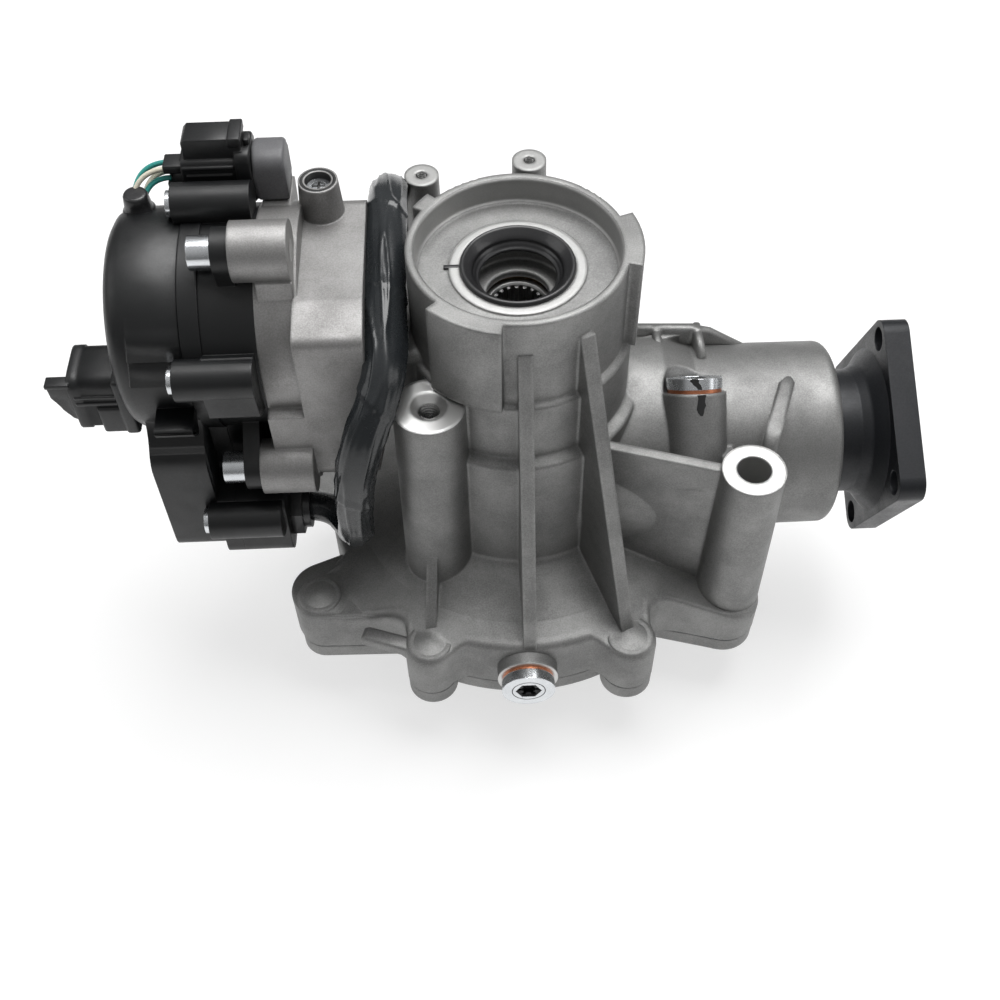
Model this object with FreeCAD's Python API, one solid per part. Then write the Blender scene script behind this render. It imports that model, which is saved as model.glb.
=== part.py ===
import FreeCAD, Part
import math
import os

# Front differential of a light four-wheel-drive vehicle, with an electric lock actuator.
# Modelled about the point where the axle axis (Z) meets the pinion axis (X), in millimetres,
# and written out with the origin at the centre of the right-hand axle collar's mouth.

V = FreeCAD.Vector
X, Y, Z = V(1, 0, 0), V(0, 1, 0), V(0, 0, 1)
ORIGIN = V(0, 0, 0)

# Overall layout
PINION_HEIGHT = 104.0         # pinion axis above the right-hand collar's mouth
RIM_HEIGHT = 115.4            # left-hand collar's rim above the pinion axis
PARTING = -62.0               # joint face between main case and side cover
WALL = 5.0                    # casting wall
RUN = 0.06                    # radial running clearance of turning and sliding fits
SIT = 0.02                    # radial clearance of seated parts
GAP = 0.3                     # clearance between neighbouring parts
BOLT_CLEAR = 0.2              # radial clearance of bolts in their through holes

# Axle collars and seals
COLLAR_R = 43.0
RECESS_R = 39.4
RECESS_DEPTH = 10.6
SEAL_OD = 45.0
SEAL_LIP_D = 30.0
SEAL_T = 8.0
SEAL_STEP_R = 26.65
SEAL_STEP_T = 0.8
LUG_R = 48.0
LUG_DEPTH = 42.0

# Neck, shoulder and flange of the main case
NECK_MID_R = 46.0
NECK_LOW_R = 51.0
LEDGE_TOP_Z = 73.0
LEDGE_LOW_Z = 43.0
SHOULDER_TOP_Z = -19.8
SHOULDER_MID_R = 77.0
SHOULDER_MID_Z = -31.4
CASE_R = 86.0
SHOULDER_EDGE_Z = -40.0
FLANGE_T = 8.0
CAVITY_R = 80.0
GASKET_T = 0.6

# Bolts that join case and cover: (x, y, boss radius)
FLANGE_BOLTS = [(-42.0, -80.5, 11.0), (45.0, -81.5, 11.5), (-91.0, -54.0, 11.0),
                (-93.0, 36.0, 11.0), (-46.0, 80.0, 11.0), (2.0, 92.0, 11.0),
                (52.0, 77.0, 11.0), (91.0, 40.0, 11.0)]
COVER_BOLT_D = 8.0
COVER_BOLT_AF = 12.0
COVER_BOLT_HEAD = 6.0
COVER_BOLT_GRIP = 16.0

# Threaded boss, through-hole boss and the two small bosses on the main case
BOSS1 = V(-36.4, -41.0, 0)
BOSS1_R = 14.25
BOSS1_TOP = 72.0
BOSS1_TAP_R = 4.25
BOSS1_DEPTH = 26.0
BOSS1_SINK_R = 7.4
RING_BOSS = V(92.2, -53.4, 0)
RING_BOSS_R = 13.0
RING_BOSS_TOP = 40.8
RING_HOLE_R = 7.0
POST_A = V(-38.0, 80.0, 87.0)
POST_B = V(9.0, 84.0, 90.0)
POST_R = 7.5
POST_TAP_R = 2.5
POST_DEPTH = 16.0

# Drain and fill plugs, one size
PLUG_HEAD_R = 11.6
PLUG_HEAD_T = 4.6
PLUG_SHANK_R = 7.0
PLUG_SHANK_L = 6.0
WASHER_T = 1.6
PLUG_BOSS_R = 13.2
DRAIN_Z = -50.0
DRAIN_FACE_Y = -93.0
FILL_SEAT = V(73.0, -13.6, 44.2)
FILL_TILT = 43.0              # degrees that the fill plug leans back from the axle axis

# Pinion tube, bearings and seal
TUBE_R = 40.6
TUBE_END = 136.8
PINION_BORE_R = 36.0
REAR_BEARING_X = 75.0
FRONT_BEARING_X = 100.0
PINION_BEARING_W = 17.0
PINION_SHAFT_R = 17.5
PINION_SEAL_X = 126.8
PINION_NECK_X = 117.0
FLANGE_BORE_R = 15.0
HUB_R = 27.5
CIRCLIP_T = 2.0

# Input flange
PLATE_X = 157.0
PLATE_T = 11.0
PLATE_HALF = 40.0
PLATE_CORNER_R = 8.0
PLATE_PCD = 90.0
PLATE_HOLE_R = 5.25
NUT_POCKET_R = 22.0
NUT_ACROSS = 36.0
PLATE_TURN = 71.0             # degrees from +Y to the first hole at rest
STUB_R = 12.0
STUB_X = 158.0                # shoulder from the splined part to the threaded end
SHAFT_END_X = 172.5
HUB_ROOT_R = 22.0             # flange hub behind the seal, and the shaft's bearing shoulder

# Bevel gear set
RING_TEETH = 36
PINION_TEETH = 18
RING_PITCH_R = 70.0
BEVEL_FACE = 20.0
BEVEL_ADD = 2.2
BEVEL_DED = 3.1
RING_BACK_Z = -45.0
RING_BORE_R = 42.0
RING_BOLTS = 8
RING_BOLT_CIRCLE = 54.0
RING_BOLT_R = 4.0
RING_BOLT_TURN = 22.5         # degrees from +X to the first ring gear bolt

# Differential gears
SIDE_TEETH = 16
SPIDER_TEETH = 10
SIDE_PITCH_R = 20.0
DIFF_FACE = 9.0
DIFF_ADD = 1.6
DIFF_DED = 2.3
SIDE_BACK_Z = 20.0
SPIDER_BACK = 24.0
SPIDER_SEAT = 25.5           # flat behind the spider gears and their washers
CHAMBER_Z = 21.5             # flats behind the side gears and their washers
CARRIER_ROOM_R = 22.4
TOOTH_SLIM = 0.28            # taken off each tooth flank, so that meshed teeth run clear
DIFF_SLIM = 0.32
TOOTH_LEDGE = 0.5            # gear body left beyond both ends of the bevel teeth
HUB_OUT_R = 15.0
SPLINE_R = 10.75
SPLINE_TEETH = 20
HUB_TOP = 86.0
BUSH_R = 17.0
HUB_BOTTOM = 21.0 - PINION_HEIGHT
CROSS_PIN_R = 5.0
SIDE_WASHER_R = 20.5
SPIDER_WASHER_R = 12.5
CARRIER_R = 38.0
TRUNNION_R = 20.0
TRUNNION_TOP = 66.0
BEARING_LAND_R = 23.5         # shoulder that each inner race stands on
CARRIER_FLANGE_R = 62.0
CARRIER_FLANGE_T = 5.5
SPIGOT_R = 28.0

# Carrier bearings
CARRIER_BEARING_OD = 68.0
CARRIER_BEARING_W = 15.0
CARRIER_BALLS = 10
CARRIER_BALL_R = 3.9
LEFT_BEARING_Z = 32.0
RIGHT_BEARING_Z = 27.0 - PINION_HEIGHT

# Lock sleeve, fork and rail
CHAMBER_R = 33.0
CHAMBER_TOP = 81.0
SLEEVE_R = 31.0
SLEEVE_Z = 50.0
SLEEVE_H = 12.0
GROOVE_Z = 53.8
GROOVE_H = 4.5
GROOVE_R = 27.0
KEY_HALF = 1.95
DOGS = 8
DOG_H = 4.0
DOG_IN_R = 21.5
DOG_OUT_R = 29.5
DOG_SLACK = 1.5               # degrees of play beside each dog
LOCK_STROKE = 6.0
LOCK_HUB_Z = SLEEVE_Z + SLEEVE_H + DOG_H + LOCK_STROKE + 0.4
RAIL_X = -76.0
RAIL_Y = 14.0
RAIL_R = 7.0
RAIL_Z = 13.0
RAIL_L = 80.0
RACK_PITCH_Y = 8.5
RACK_MODULE = 1.25
OUTPUT_TEETH = 14
OUTPUT_Z = 40.0

# Adapter housing and actuator, laid out about the motor axis in the plane across X
MOTOR_Y = 15.0
MOTOR_Z = 70.0
DRUM_R = 45.0
ADAPTER_FACE = -100.5         # joint face between adapter and gear case
BAND_X = -84.0                # inner end of the adapter's round band
ADAPTER_X = -59.3             # joint face between adapter and the case's port
PORT_GASKET_T = 1.0
PORT = (-20.0, 28.0, 45.0, 78.0)         # bridge section: y from, y to, z from, z to
PORT_CORNER_R = 4.0
PORT_WALL = 5.0
CAP_SEAM = -121.4             # joint face between gear case and motor cap
CAP_STEP = -129.0
CAP_END = -159.0
CAP_WALL = 3.0
ACTUATOR_LUGS = [(-3.0, 119.4), (-33.0, 30.0), (66.6, 57.0)]
LUG_OD = 23.0
LUG_X0 = -106.7
LUG_X1 = -85.0
LUG_SCREW_R = 4.0
LUG_HEAD_R = 6.6
LUG_HEAD_T = 9.1
LUG_SPACER_R = 9.4
LUG_SPACER_T = 6.8
CASE_SCREWS = [(26.7, 118.6), (-33.3, 83.0), (-42.0, 6.0), (50.4, 34.6)]
CASE_BOSS_R = 8.2
CASE_BOSS_END = -132.0
CASE_SCREW_R = 2.5
CASE_SCREW_HEAD_R = 5.4
CASE_SCREW_HEAD_T = 2.4

# Actuator gear train
TRAIN_MODULE = 1.0
MOTOR_TEETH = 10
IDLER_TEETH = 30
IDLER_PINION_TEETH = 12
SECTOR_TEETH = 48
SECTOR_SHOWN = 11             # teeth that the sector really carries
OUTPUT_SHAFT_R = 4.0
IDLER_PIN_R = 2.0
MOTOR_SHAFT_R = 1.6
SECTOR_X = (-112.5, -106.5)
SHAFT_BOSS_R = 7.5
MOTOR_R = 20.0
MOTOR_L = 30.5

# Connectors
SOCKET_Y, SOCKET_Z = -6.0, 54.0
SOCKET_W, SOCKET_H = 24.0, 27.0
SOCKET_TIP = -190.0
SOCKET_DEPTH = 20.0
PIN_R = 1.4
PIN_PLACES = [(SOCKET_Y + a, SOCKET_Z + b) for a in (-4.5, 4.5) for b in (-6.0, 0.0, 6.0)]
SENSOR_Y, SENSOR_Z = 44.2, 121.5
BOOT = (-148.0, 34.0)
VENT_X, VENT_Y, VENT_TOP, VENT_R = -76.7, 36.6, 120.0, 7.85

# Taped loom: round section and the points of its route
LOOM_R = 7.2
LOOM_ROUTE = [(-100.5, -24.0, -9.0), (-84.0, -24.0, -9.0), (-73.0, -38.0, -10.0),
              (-70.0, -53.0, 8.0), (-68.5, -56.0, 36.0), (-64.0, -54.5, 62.0),
              (-51.1, -40.0, 86.0), (-51.25, -14.0, 96.0), (-51.25, 22.0, 100.0),
              (-52.0, 56.0, 98.0), (-53.0, 83.0, 80.0), (-54.0, 95.0, 48.0),
              (-54.0, 95.0, 20.0)]
GLAND_R = 10.0
GLAND_L = 8.0
WIRE_R = 1.05
WIRES = 4
WIRE_RING_R = 2.8             # circle that the wires leave the plug and enter the boot on
PLUG_TAIL_X = -137.0
WIRE_END_Z = 111.0
BOOT_STEM_R = 4.9


# Helpers: placing outlines
def at_x(x):
    return lambda y, z: V(x, y, z)


def at_z(z):
    return lambda x, y: V(x, y, z)


def half_plane(r, z):
    return V(r, 0, z)


def outline(corners, place):
    """Closed wire through corners (u, v) or (u, v, radius), rounded where a radius is given."""
    count = len(corners)
    points = [V(c[0], c[1], 0) for c in corners]
    starts, ends, arcs = [], [], []
    for i, corner in enumerate(corners):
        here, before, after = points[i], points[i - 1], points[(i + 1) % count]
        radius = corner[2] if len(corner) > 2 else 0
        if radius == 0:
            starts.append(here)
            ends.append(here)
            arcs.append(None)
            continue
        back = (before - here).normalize()
        ahead = (after - here).normalize()
        half = back.getAngle(ahead) / 2
        reach = radius / math.tan(half)
        middle = (back + ahead).normalize() * (radius / math.sin(half) - radius)
        starts.append(here + back * reach)
        ends.append(here + ahead * reach)
        arcs.append(here + middle)
    edges = []
    for i in range(count):
        if arcs[i] is not None:
            bend = [place(p.x, p.y) for p in (starts[i], arcs[i], ends[i])]
            edges.append(Part.Arc(*bend).toShape())
        a, b = ends[i], starts[(i + 1) % count]
        if a.distanceToPoint(b) > 1e-6:
            edges.append(Part.makeLine(place(a.x, a.y), place(b.x, b.y)))
    return Part.Wire(edges)


def plate(corners, place, sweep):
    """Solid made by sweeping a rounded outline straight along a vector."""
    return Part.Face(outline(corners, place)).extrude(sweep)


def slab(corners, x0, x1):
    """Block between two stations along X from an outline of (y, z)."""
    return plate(corners, at_x(x0), V(x1 - x0, 0, 0))


def turned(corners, axis=Z):
    """Solid of revolution from an outline of (radius, distance along the axis)."""
    solid = Part.Face(outline(corners, half_plane)).revolve(ORIGIN, Z, 360)
    return seated(solid, ORIGIN, axis)


def seated(shape, base, axis):
    """Copy of a shape built along +Z, turned to an axis and moved to a base point."""
    copy = shape.copy()
    copy.Placement = FreeCAD.Placement(base, FreeCAD.Rotation(Z, axis))
    return copy


def rod(r, length, base, axis=Z):
    return Part.makeCylinder(r, length, base, axis)


def ring(outer, inner, length, base, axis=Z):
    return rod(outer, length, base, axis).cut(rod(inner, length, base, axis))


def taper(r0, r1, length, base, axis=Z):
    return Part.makeCone(r0, r1, length, base, axis)


def hull(a, ra, b, rb, place, sweep):
    """Solid around two circles and the straight tangents between them."""
    reach = math.hypot(b[0] - a[0], b[1] - a[1])
    lean = math.atan2(b[1] - a[1], b[0] - a[0])
    open_by = math.acos((ra - rb) / reach)

    def on(c, r, angle):
        return place(c[0] + r * math.cos(angle), c[1] + r * math.sin(angle))

    far = [on(a, ra, lean + t) for t in (open_by, math.pi, -open_by)]
    near = [on(b, rb, lean + t) for t in (-open_by, 0, open_by)]
    edges = [Part.Arc(*far).toShape(), Part.makeLine(far[2], near[0]),
             Part.Arc(*near).toShape(), Part.makeLine(near[2], far[0])]
    return Part.Face(Part.Wire(edges)).extrude(sweep)


def sector(inner, outer, start, end, z0, z1):
    """Block between two radii and two angles about Z."""
    angles = [math.radians(a) for a in (start, (start + end) / 2, end)]
    out = [V(outer * math.cos(a), outer * math.sin(a), z0) for a in angles]
    into = [V(inner * math.cos(a), inner * math.sin(a), z0) for a in reversed(angles)]
    edges = [Part.Arc(*out).toShape(), Part.makeLine(out[2], into[0]),
             Part.Arc(*into).toShape(), Part.makeLine(into[2], out[0])]
    return Part.Face(Part.Wire(edges)).extrude(V(0, 0, z1 - z0))


def wall(a, b, thick, profile):
    """Upright web from plan point a to b; profile gives (distance from a, height) corners."""
    along = (b - a).normalize()
    side = V(-along.y, along.x, 0) * thick
    start = a - side * 0.5
    return plate(profile, lambda s, z: start + along * s + V(0, 0, z), side)


def hexagon(across, length, base, axis=Z):
    r = across / math.sqrt(3)
    corners = [(r * math.cos(math.radians(60 * i)), r * math.sin(math.radians(60 * i)))
               for i in range(6)]
    return seated(plate(corners, at_z(0), V(0, 0, length)), base, axis)


def joined(first, *rest):
    return first.multiFuse(list(rest)).removeSplitter()


def less(shape, *tools):
    return shape.cut(list(tools))


def polar(count, shape, axis=Z, centre=ORIGIN, first=0.0):
    copies = []
    for i in range(count):
        copy = shape.copy()
        copy.rotate(centre, axis, first + 360.0 * i / count)
        copies.append(copy)
    return copies


def write(node, *solids):
    """Write one node's solids, lifted so that the right-hand collar's mouth is at z = 0."""
    shape = solids[0] if len(solids) == 1 else Part.makeCompound(list(solids))
    if shape.ShapeType == "Compound" and len(shape.Solids) == 1:
        shape = shape.Solids[0]
    shape = shape.copy()
    shape.translate(V(0, 0, PINION_HEIGHT))
    if not shape.isValid():
        print("not valid:", node)
    shape.exportStep("parts/" + node + ".step")
    print(node, len(shape.Solids), "solid(s)", round(shape.Volume / 1000, 2), "cm3")


# Gears
def bevel_tooth(count, mate, pitch_r, face, add, ded, slim):
    """One straight bevel tooth about +Z, apex at the origin, centred on +X."""
    cone = math.atan2(count, mate)
    reach = pitch_r / math.sin(cone)
    along = V(math.sin(cone), 0, math.cos(cone))
    out = V(math.cos(cone), 0, -math.sin(cone))
    half = math.pi * pitch_r / count / 2 - slim
    sink = ded + 0.8
    spread = math.tan(math.radians(20))
    section = [(half + sink * spread, -sink), (half - add * spread, add),
               (-half + add * spread, add), (-half - sink * spread, -sink)]

    def wire(scale):
        points = [(along * reach + Y * t + out * n) * scale for t, n in section]
        return Part.makePolygon(points + points[:1])

    return Part.makeLoft([wire(1.0), wire(1.0 - face / reach)], True, True)


def bevel_points(count, mate, pitch_r, face, ded):
    """Outer and inner root points (radius, distance from the apex) of a bevel gear."""
    cone = math.atan2(count, mate)
    reach = pitch_r / math.sin(cone)
    root = (pitch_r - ded * math.cos(cone), reach * math.cos(cone) + ded * math.sin(cone))
    ends = (1.0 + TOOTH_LEDGE / reach, 1.0 - (face + TOOTH_LEDGE) / reach)
    return [(root[0] * scale, root[1] * scale) for scale in ends]


def spur(count, module, length, slim, first=0.0, teeth=None, bore=0.0):
    """Straight-toothed wheel about +Z from z = 0, with a tooth centred at an angle."""
    pitch_r = module * count / 2
    root = pitch_r - 1.2 * module
    tip = pitch_r + 0.85 * module
    half = math.pi * module / 4 - slim
    tooth = plate([(root - 0.4, half + 0.45 * module), (pitch_r, half),
                   (tip, half - 0.36 * module), (tip, -half + 0.36 * module),
                   (pitch_r, -half), (root - 0.4, -half - 0.45 * module)],
                  at_z(0), V(0, 0, length))
    step = 360.0 / count
    shown = teeth or count
    copies = []
    for i in range(shown):
        copy = tooth.copy()
        copy.rotate(ORIGIN, Z, first + step * (i - (shown - 1) / 2 if teeth else i))
        copies.append(copy)
    wheel = joined(rod(root, length, ORIGIN), *copies)
    return less(wheel, rod(bore, length, ORIGIN)) if bore else wheel


# Main case
def flange_outline(z, height, grow=0.0):
    """Bolting flange shared by main case, gasket and cover."""
    up = V(0, 0, height)
    parts = [hull((-91.0, -54.0), 11.0 + grow, (-40.0, -45.0), 21.0, at_z(z), up),
             hull((92.2, -56.5), 14.0 + grow, (50.0, -32.0), 26.0, at_z(z), up),
             hull((-93.0, 36.0), 11.0 + grow, (-45.0, 20.0), 26.0, at_z(z), up),
             hull((91.0, 40.0), 11.0 + grow, (45.0, 20.0), 26.0, at_z(z), up)]
    for x, y, r in FLANGE_BOLTS:
        parts.append(rod(r + grow, height, V(x, y, z)))
    return joined(rod(CASE_R + 1.5 + grow, height, V(0, 0, z)), *parts)


def seal_seat(mouth, inward, lead):
    """Stepped bore of an axle collar, cut from its mouth inward along the axle axis."""
    floor = RECESS_DEPTH
    steps = [(0, -1), (RECESS_R + lead, -1), (RECESS_R + lead, 0), (RECESS_R, lead),
             (RECESS_R, floor), (RECESS_R - SEAL_STEP_T, floor),
             (RECESS_R - SEAL_STEP_T, floor + SEAL_STEP_T),
             (SEAL_STEP_R, floor + SEAL_STEP_T), (SEAL_STEP_R, floor),
             (SEAL_OD / 2 + SIT, floor), (SEAL_OD / 2 + SIT, floor + SEAL_T),
             (20.0, floor + SEAL_T), (20.0, floor + 13.8), (12.6, floor + 13.8),
             (12.6, floor + 40.0), (0, floor + 40.0)]
    return seated(turned(steps), V(0, 0, mouth), inward)


def collar_lugs(z0, z1):
    pads = [sector(COLLAR_R - 3, LUG_R, -137, -100, z0, z1),
            sector(COLLAR_R - 3, LUG_R, -17, 20, z0, z1),
            sector(COLLAR_R - 3, LUG_R - 1.5, 137, 149, z0, z1)]
    return pads


def case_body():
    body = turned([(0, PARTING), (CASE_R, PARTING), (CASE_R, SHOULDER_EDGE_Z, 5),
                   (SHOULDER_MID_R, SHOULDER_MID_Z, 8), (NECK_LOW_R + 1, SHOULDER_TOP_Z, 4),
                   (NECK_LOW_R, LEDGE_LOW_Z, 1.5), (NECK_MID_R, LEDGE_LOW_Z + 1.5),
                   (NECK_MID_R, LEDGE_TOP_Z, 1), (COLLAR_R + 0.2, LEDGE_TOP_Z + 1.2),
                   (COLLAR_R, RIM_HEIGHT, 0.8), (0, RIM_HEIGHT)])
    tube = turned([(0, 20), (TUBE_R + 0.8, 20), (TUBE_R, TUBE_END, 4), (0, TUBE_END)], X)
    root = turned([(0, 20), (TUBE_R + 5.5, 20), (TUBE_R + 5.5, 62, 3), (TUBE_R - 1, 80, 3),
                   (0, 80)], X)
    return joined(body, tube, root)


def case_bosses():
    foot = SHOULDER_EDGE_Z
    boss1 = taper(BOSS1_R + 1.2, BOSS1_R, BOSS1_TOP - foot, BOSS1 + V(0, 0, foot))
    ear = hull((BOSS1.x, BOSS1.y), BOSS1_R - 1, (-27.0, -31.5), 3.0,
               at_z(foot), V(0, 0, BOSS1_TOP - foot))
    ring_boss = taper(RING_BOSS_R + 1.6, RING_BOSS_R, RING_BOSS_TOP - PARTING,
                      RING_BOSS + V(0, 0, PARTING))
    posts = []
    for post in (POST_A, POST_B):
        base = V(post.x, post.y, PARTING)
        posts.append(taper(POST_R + 1.8, POST_R, post.z - PARTING, base))
        inward = V(-post.x, -post.y, 0).normalize()
        flat = V(post.x, post.y, 0)
        drop = post.z - 14.0
        posts.append(wall(flat, flat + inward * 45, 4.0,
                          [(0, PARTING + 1), (45, PARTING + 1), (45, drop - 22), (0, drop)]))
    return [boss1, ear, ring_boss] + posts


def case_ribs():
    flange_top = PARTING + FLANGE_T
    centre = wall(V(0.6, -38, 0), V(1.2, -88, 0), 5.6,
                  [(0, flange_top), (50, flange_top), (49, -33, 3), (5.6, 100), (0, 100)])
    right = wall(V(22.3, -33.5, 0), V(44.6, -80, 0), 6.0,
                 [(0, flange_top), (51.5, flange_top), (51, -36, 3), (4.4, 103), (0, 103)])
    foot = wall(V(-39.0, -52, 0), V(-42.2, -82, 0), 4.6,
                [(0, flange_top), (29, flange_top), (28.5, -42, 2), (4, -8), (0, -8)])
    web = wall(V(31.5, -37.5, 0), V(88.0, -51.5, 0), 4.4,
               [(0, PARTING + 2), (56, PARTING + 2), (56, 37.5), (0, 42)])
    outer = wall(V(86, -51, 0), V(86, 0, 0), 5.0,
                 [(0, PARTING + 2), (40, PARTING + 2), (40, 20), (6, 34), (0, 34)])
    gusset = wall(V(112.0, -10, 0), V(97.0, -50.0, 0), 5.5,
                  [(0, 8), (41, -30), (41, 36, 2), (14, 37.5, 4), (0, 33)])
    back = wall(V(0, 38, 0), V(0, 88, 0), 5.0,
                [(0, flange_top), (48, flange_top), (48, -36, 3), (6, 60), (0, 60)])
    side = wall(V(33, 28, 0), V(66, 52, 0), 4.5,
                [(0, flange_top), (38, flange_top), (38, -34, 3), (12, 36), (0, 40)])
    top_web = wall(V(40, 16, 0), V(80, 30, 0), 4.0,
                   [(0, 0), (42, 0), (42, 38.5), (0, 41)])
    return [centre, right, foot, web, outer, gusset, back, side, top_web]


def corner_blocks():
    """Raised corners of the case, where its bolting lugs stand clear of the round wall."""
    top = -38.0
    up = V(0, 0, top - PARTING)
    place = at_z(PARTING)
    return [hull((-89.5, -50.0), 14.5, (-45.0, -42.0), 24.0, place, up),
            hull((-92.0, 35.0), 11.0, (-50.0, 22.0), 26.0, place, up),
            hull((90.0, 39.0), 11.0, (50.0, 20.0), 26.0, place, up)]


def port_block(x0, x1, inset=0.0):
    """Section of the bridge from neck to adapter housing, or of its window when inset."""
    y0, y1, z0, z1 = PORT[0] + inset, PORT[1] - inset, PORT[2] + inset, PORT[3] - inset
    r = PORT_CORNER_R - (1.0 if inset else 0.0)
    return slab([(y0, z0, r), (y1, z0, r), (y1, z1, r), (y0, z1, r)], x0, x1)


def fill_axis():
    lean = math.radians(FILL_TILT)
    return V(0, math.sin(lean), math.cos(lean))


def main_case():
    up = fill_axis()
    fill_boss = rod(PLUG_BOSS_R, 40, FILL_SEAT - up * 40, up)
    drain_boss = rod(PLUG_BOSS_R, 18, V(0, DRAIN_FACE_Y, DRAIN_Z), Y)
    bridge = port_block(ADAPTER_X + PORT_GASKET_T, -36.0)
    bosses = case_bosses() + case_ribs() + corner_blocks() + collar_lugs(
        RIM_HEIGHT - LUG_DEPTH, RIM_HEIGHT)
    for x, y, r in FLANGE_BOLTS:
        bosses.append(taper(r, r - 1.5, 26, V(x, y, PARTING)))
    solid = joined(case_body(), flange_outline(PARTING, FLANGE_T), bridge, fill_boss,
                   drain_boss, *bosses)
    floor = rod(CASE_R + 60, 60, V(0, 0, PARTING - 60))
    cavity = turned([(0, PARTING - 1), (CAVITY_R, PARTING - 1), (CAVITY_R, -42.0, 3),
                     (76.0, -34.6, 2), (52.0, -23.4, 2), (NECK_LOW_R - WALL, -18.0, 3),
                     (NECK_LOW_R - WALL, 24.0, 3), (CARRIER_BEARING_OD / 2 + SIT, 30.0),
                     (CARRIER_BEARING_OD / 2 + SIT, LEFT_BEARING_Z + CARRIER_BEARING_W),
                     (CHAMBER_R, LEFT_BEARING_Z + CARRIER_BEARING_W), (CHAMBER_R, CHAMBER_TOP),
                     (BUSH_R, CHAMBER_TOP), (BUSH_R, HUB_TOP + 2.0), (0, HUB_TOP + 2.0)])
    seat = REAR_BEARING_X - 1.2
    pinion_room = turned([(0, 20), (27.5, 20), (27.5, 47), (PINION_BORE_R + 2.4, 47),
                          (PINION_BORE_R + 2.4, seat), (PINION_BORE_R + SIT, seat),
                          (PINION_BORE_R + SIT, TUBE_END + 1), (0, TUBE_END + 1)], X)
    clip_x = FRONT_BEARING_X + PINION_BEARING_W
    clip_groove = ring(PINION_BORE_R + 1.5, PINION_BORE_R - 1, CIRCLIP_T + 0.1,
                       V(clip_x, 0, 0), X)
    port = port_block(ADAPTER_X - 2.0, -20.0, PORT_WALL)
    tools = [floor, cavity, pinion_room, clip_groove, port,
             seal_seat(RIM_HEIGHT, Z * -1, 0.9),
             rod(BOSS1_TAP_R, BOSS1_DEPTH, BOSS1 + V(0, 0, BOSS1_TOP - BOSS1_DEPTH)),
             taper(BOSS1_TAP_R, BOSS1_SINK_R, 3.2, BOSS1 + V(0, 0, BOSS1_TOP - 3.1)),
             rod(RING_HOLE_R, 120, RING_BOSS + V(0, 0, PARTING - 1)),
             rod(PLUG_SHANK_R + SIT, 25, FILL_SEAT - up * 24, up),
             rod(PLUG_HEAD_R + 1.2, 20, FILL_SEAT, up),
             rod(PLUG_SHANK_R + SIT, 30, V(0, DRAIN_FACE_Y - 1, DRAIN_Z), Y)]
    for post in (POST_A, POST_B):
        tools.append(rod(POST_TAP_R, POST_DEPTH + 1, post - Z * POST_DEPTH))
    for x, y, r in FLANGE_BOLTS:
        tools.append(rod(COVER_BOLT_D / 2 + SIT, COVER_BOLT_GRIP + 1, V(x, y, PARTING - 1)))
    return less(solid, *tools)


def side_cover():
    top = PARTING - GASKET_T
    skirt = top - FLANGE_T
    body = turned([(0, top), (CASE_R, top), (CASE_R, skirt), (82.5, skirt), (79.0, skirt - 3, 3),
                   (54.0, skirt - 15, 6), (COLLAR_R + 1.0, skirt - 17, 3),
                   (COLLAR_R, -PINION_HEIGHT, 0.8), (0, -PINION_HEIGHT)])
    radial = [wall(V(0, 0, 0), V(1, 0, 0), 4.5,
                   [(42, skirt + 1), (84, skirt + 1), (82, skirt - 5, 1),
                    (44, 6 - PINION_HEIGHT, 2), (42, 6 - PINION_HEIGHT)])]
    ribs = [r for shape in radial for r in polar(8, shape, first=22.5)]
    tube = taper(RING_BOSS_R + 1.6, RING_BOSS_R + 1.2, 12, RING_BOSS + V(0, 0, skirt - 4))
    solid = joined(body, flange_outline(skirt, FLANGE_T), tube, *ribs)
    seat = CARRIER_BEARING_OD / 2 + SIT
    cavity = turned([(0, top + 1), (CAVITY_R - 4, top + 1), (CAVITY_R - 4, top - 4, 2),
                     (52.0, skirt - 9, 4), (42.0, skirt - 9, 1), (40.0, top - 1.0),
                     (seat, top - 1.0), (seat, RIGHT_BEARING_Z), (30.0, RIGHT_BEARING_Z),
                     (30.0, RIGHT_BEARING_Z - 1.5), (20.0, RIGHT_BEARING_Z - 1.5),
                     (20.0, HUB_BOTTOM - 2.0), (0, HUB_BOTTOM - 2.0)])
    tools = [cavity, seal_seat(-PINION_HEIGHT, Z, 0.01),
             rod(RING_HOLE_R, 60, RING_BOSS + V(0, 0, skirt - 10))]
    for x, y, r in FLANGE_BOLTS:
        tools.append(rod(COVER_BOLT_D / 2 + GAP, 30, V(x, y, skirt - 10)))
    return less(solid, *tools)


# Plugs, screws and bearings
def plug(face, inward):
    """Hexagon-socket screw plug whose head sits on its washer; inward is its axis."""
    head = rod(PLUG_HEAD_R, PLUG_HEAD_T, face - inward * (WASHER_T + PLUG_HEAD_T), inward)
    shank = rod(PLUG_SHANK_R, PLUG_SHANK_L + WASHER_T, face - inward * WASHER_T, inward)
    recess = hexagon(10.0, 3.6, face - inward * (WASHER_T + PLUG_HEAD_T), inward)
    return less(joined(head, shank), recess)


def plug_washer(face, inward):
    return ring(PLUG_HEAD_R - 0.4, PLUG_SHANK_R + 0.2, WASHER_T, face - inward * WASHER_T,
                inward)


def hex_bolt(head_at, axis, across, head, shank_r, shank):
    """Flanged hexagon bolt: the underside of its head lies at head_at, shank along axis."""
    skirt = taper(across * 0.62, across * 0.5, head * 0.3, head_at, axis * -1)
    body = hexagon(across, head, head_at, axis * -1)
    return joined(skirt, body, rod(shank_r, shank, head_at, axis))


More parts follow.
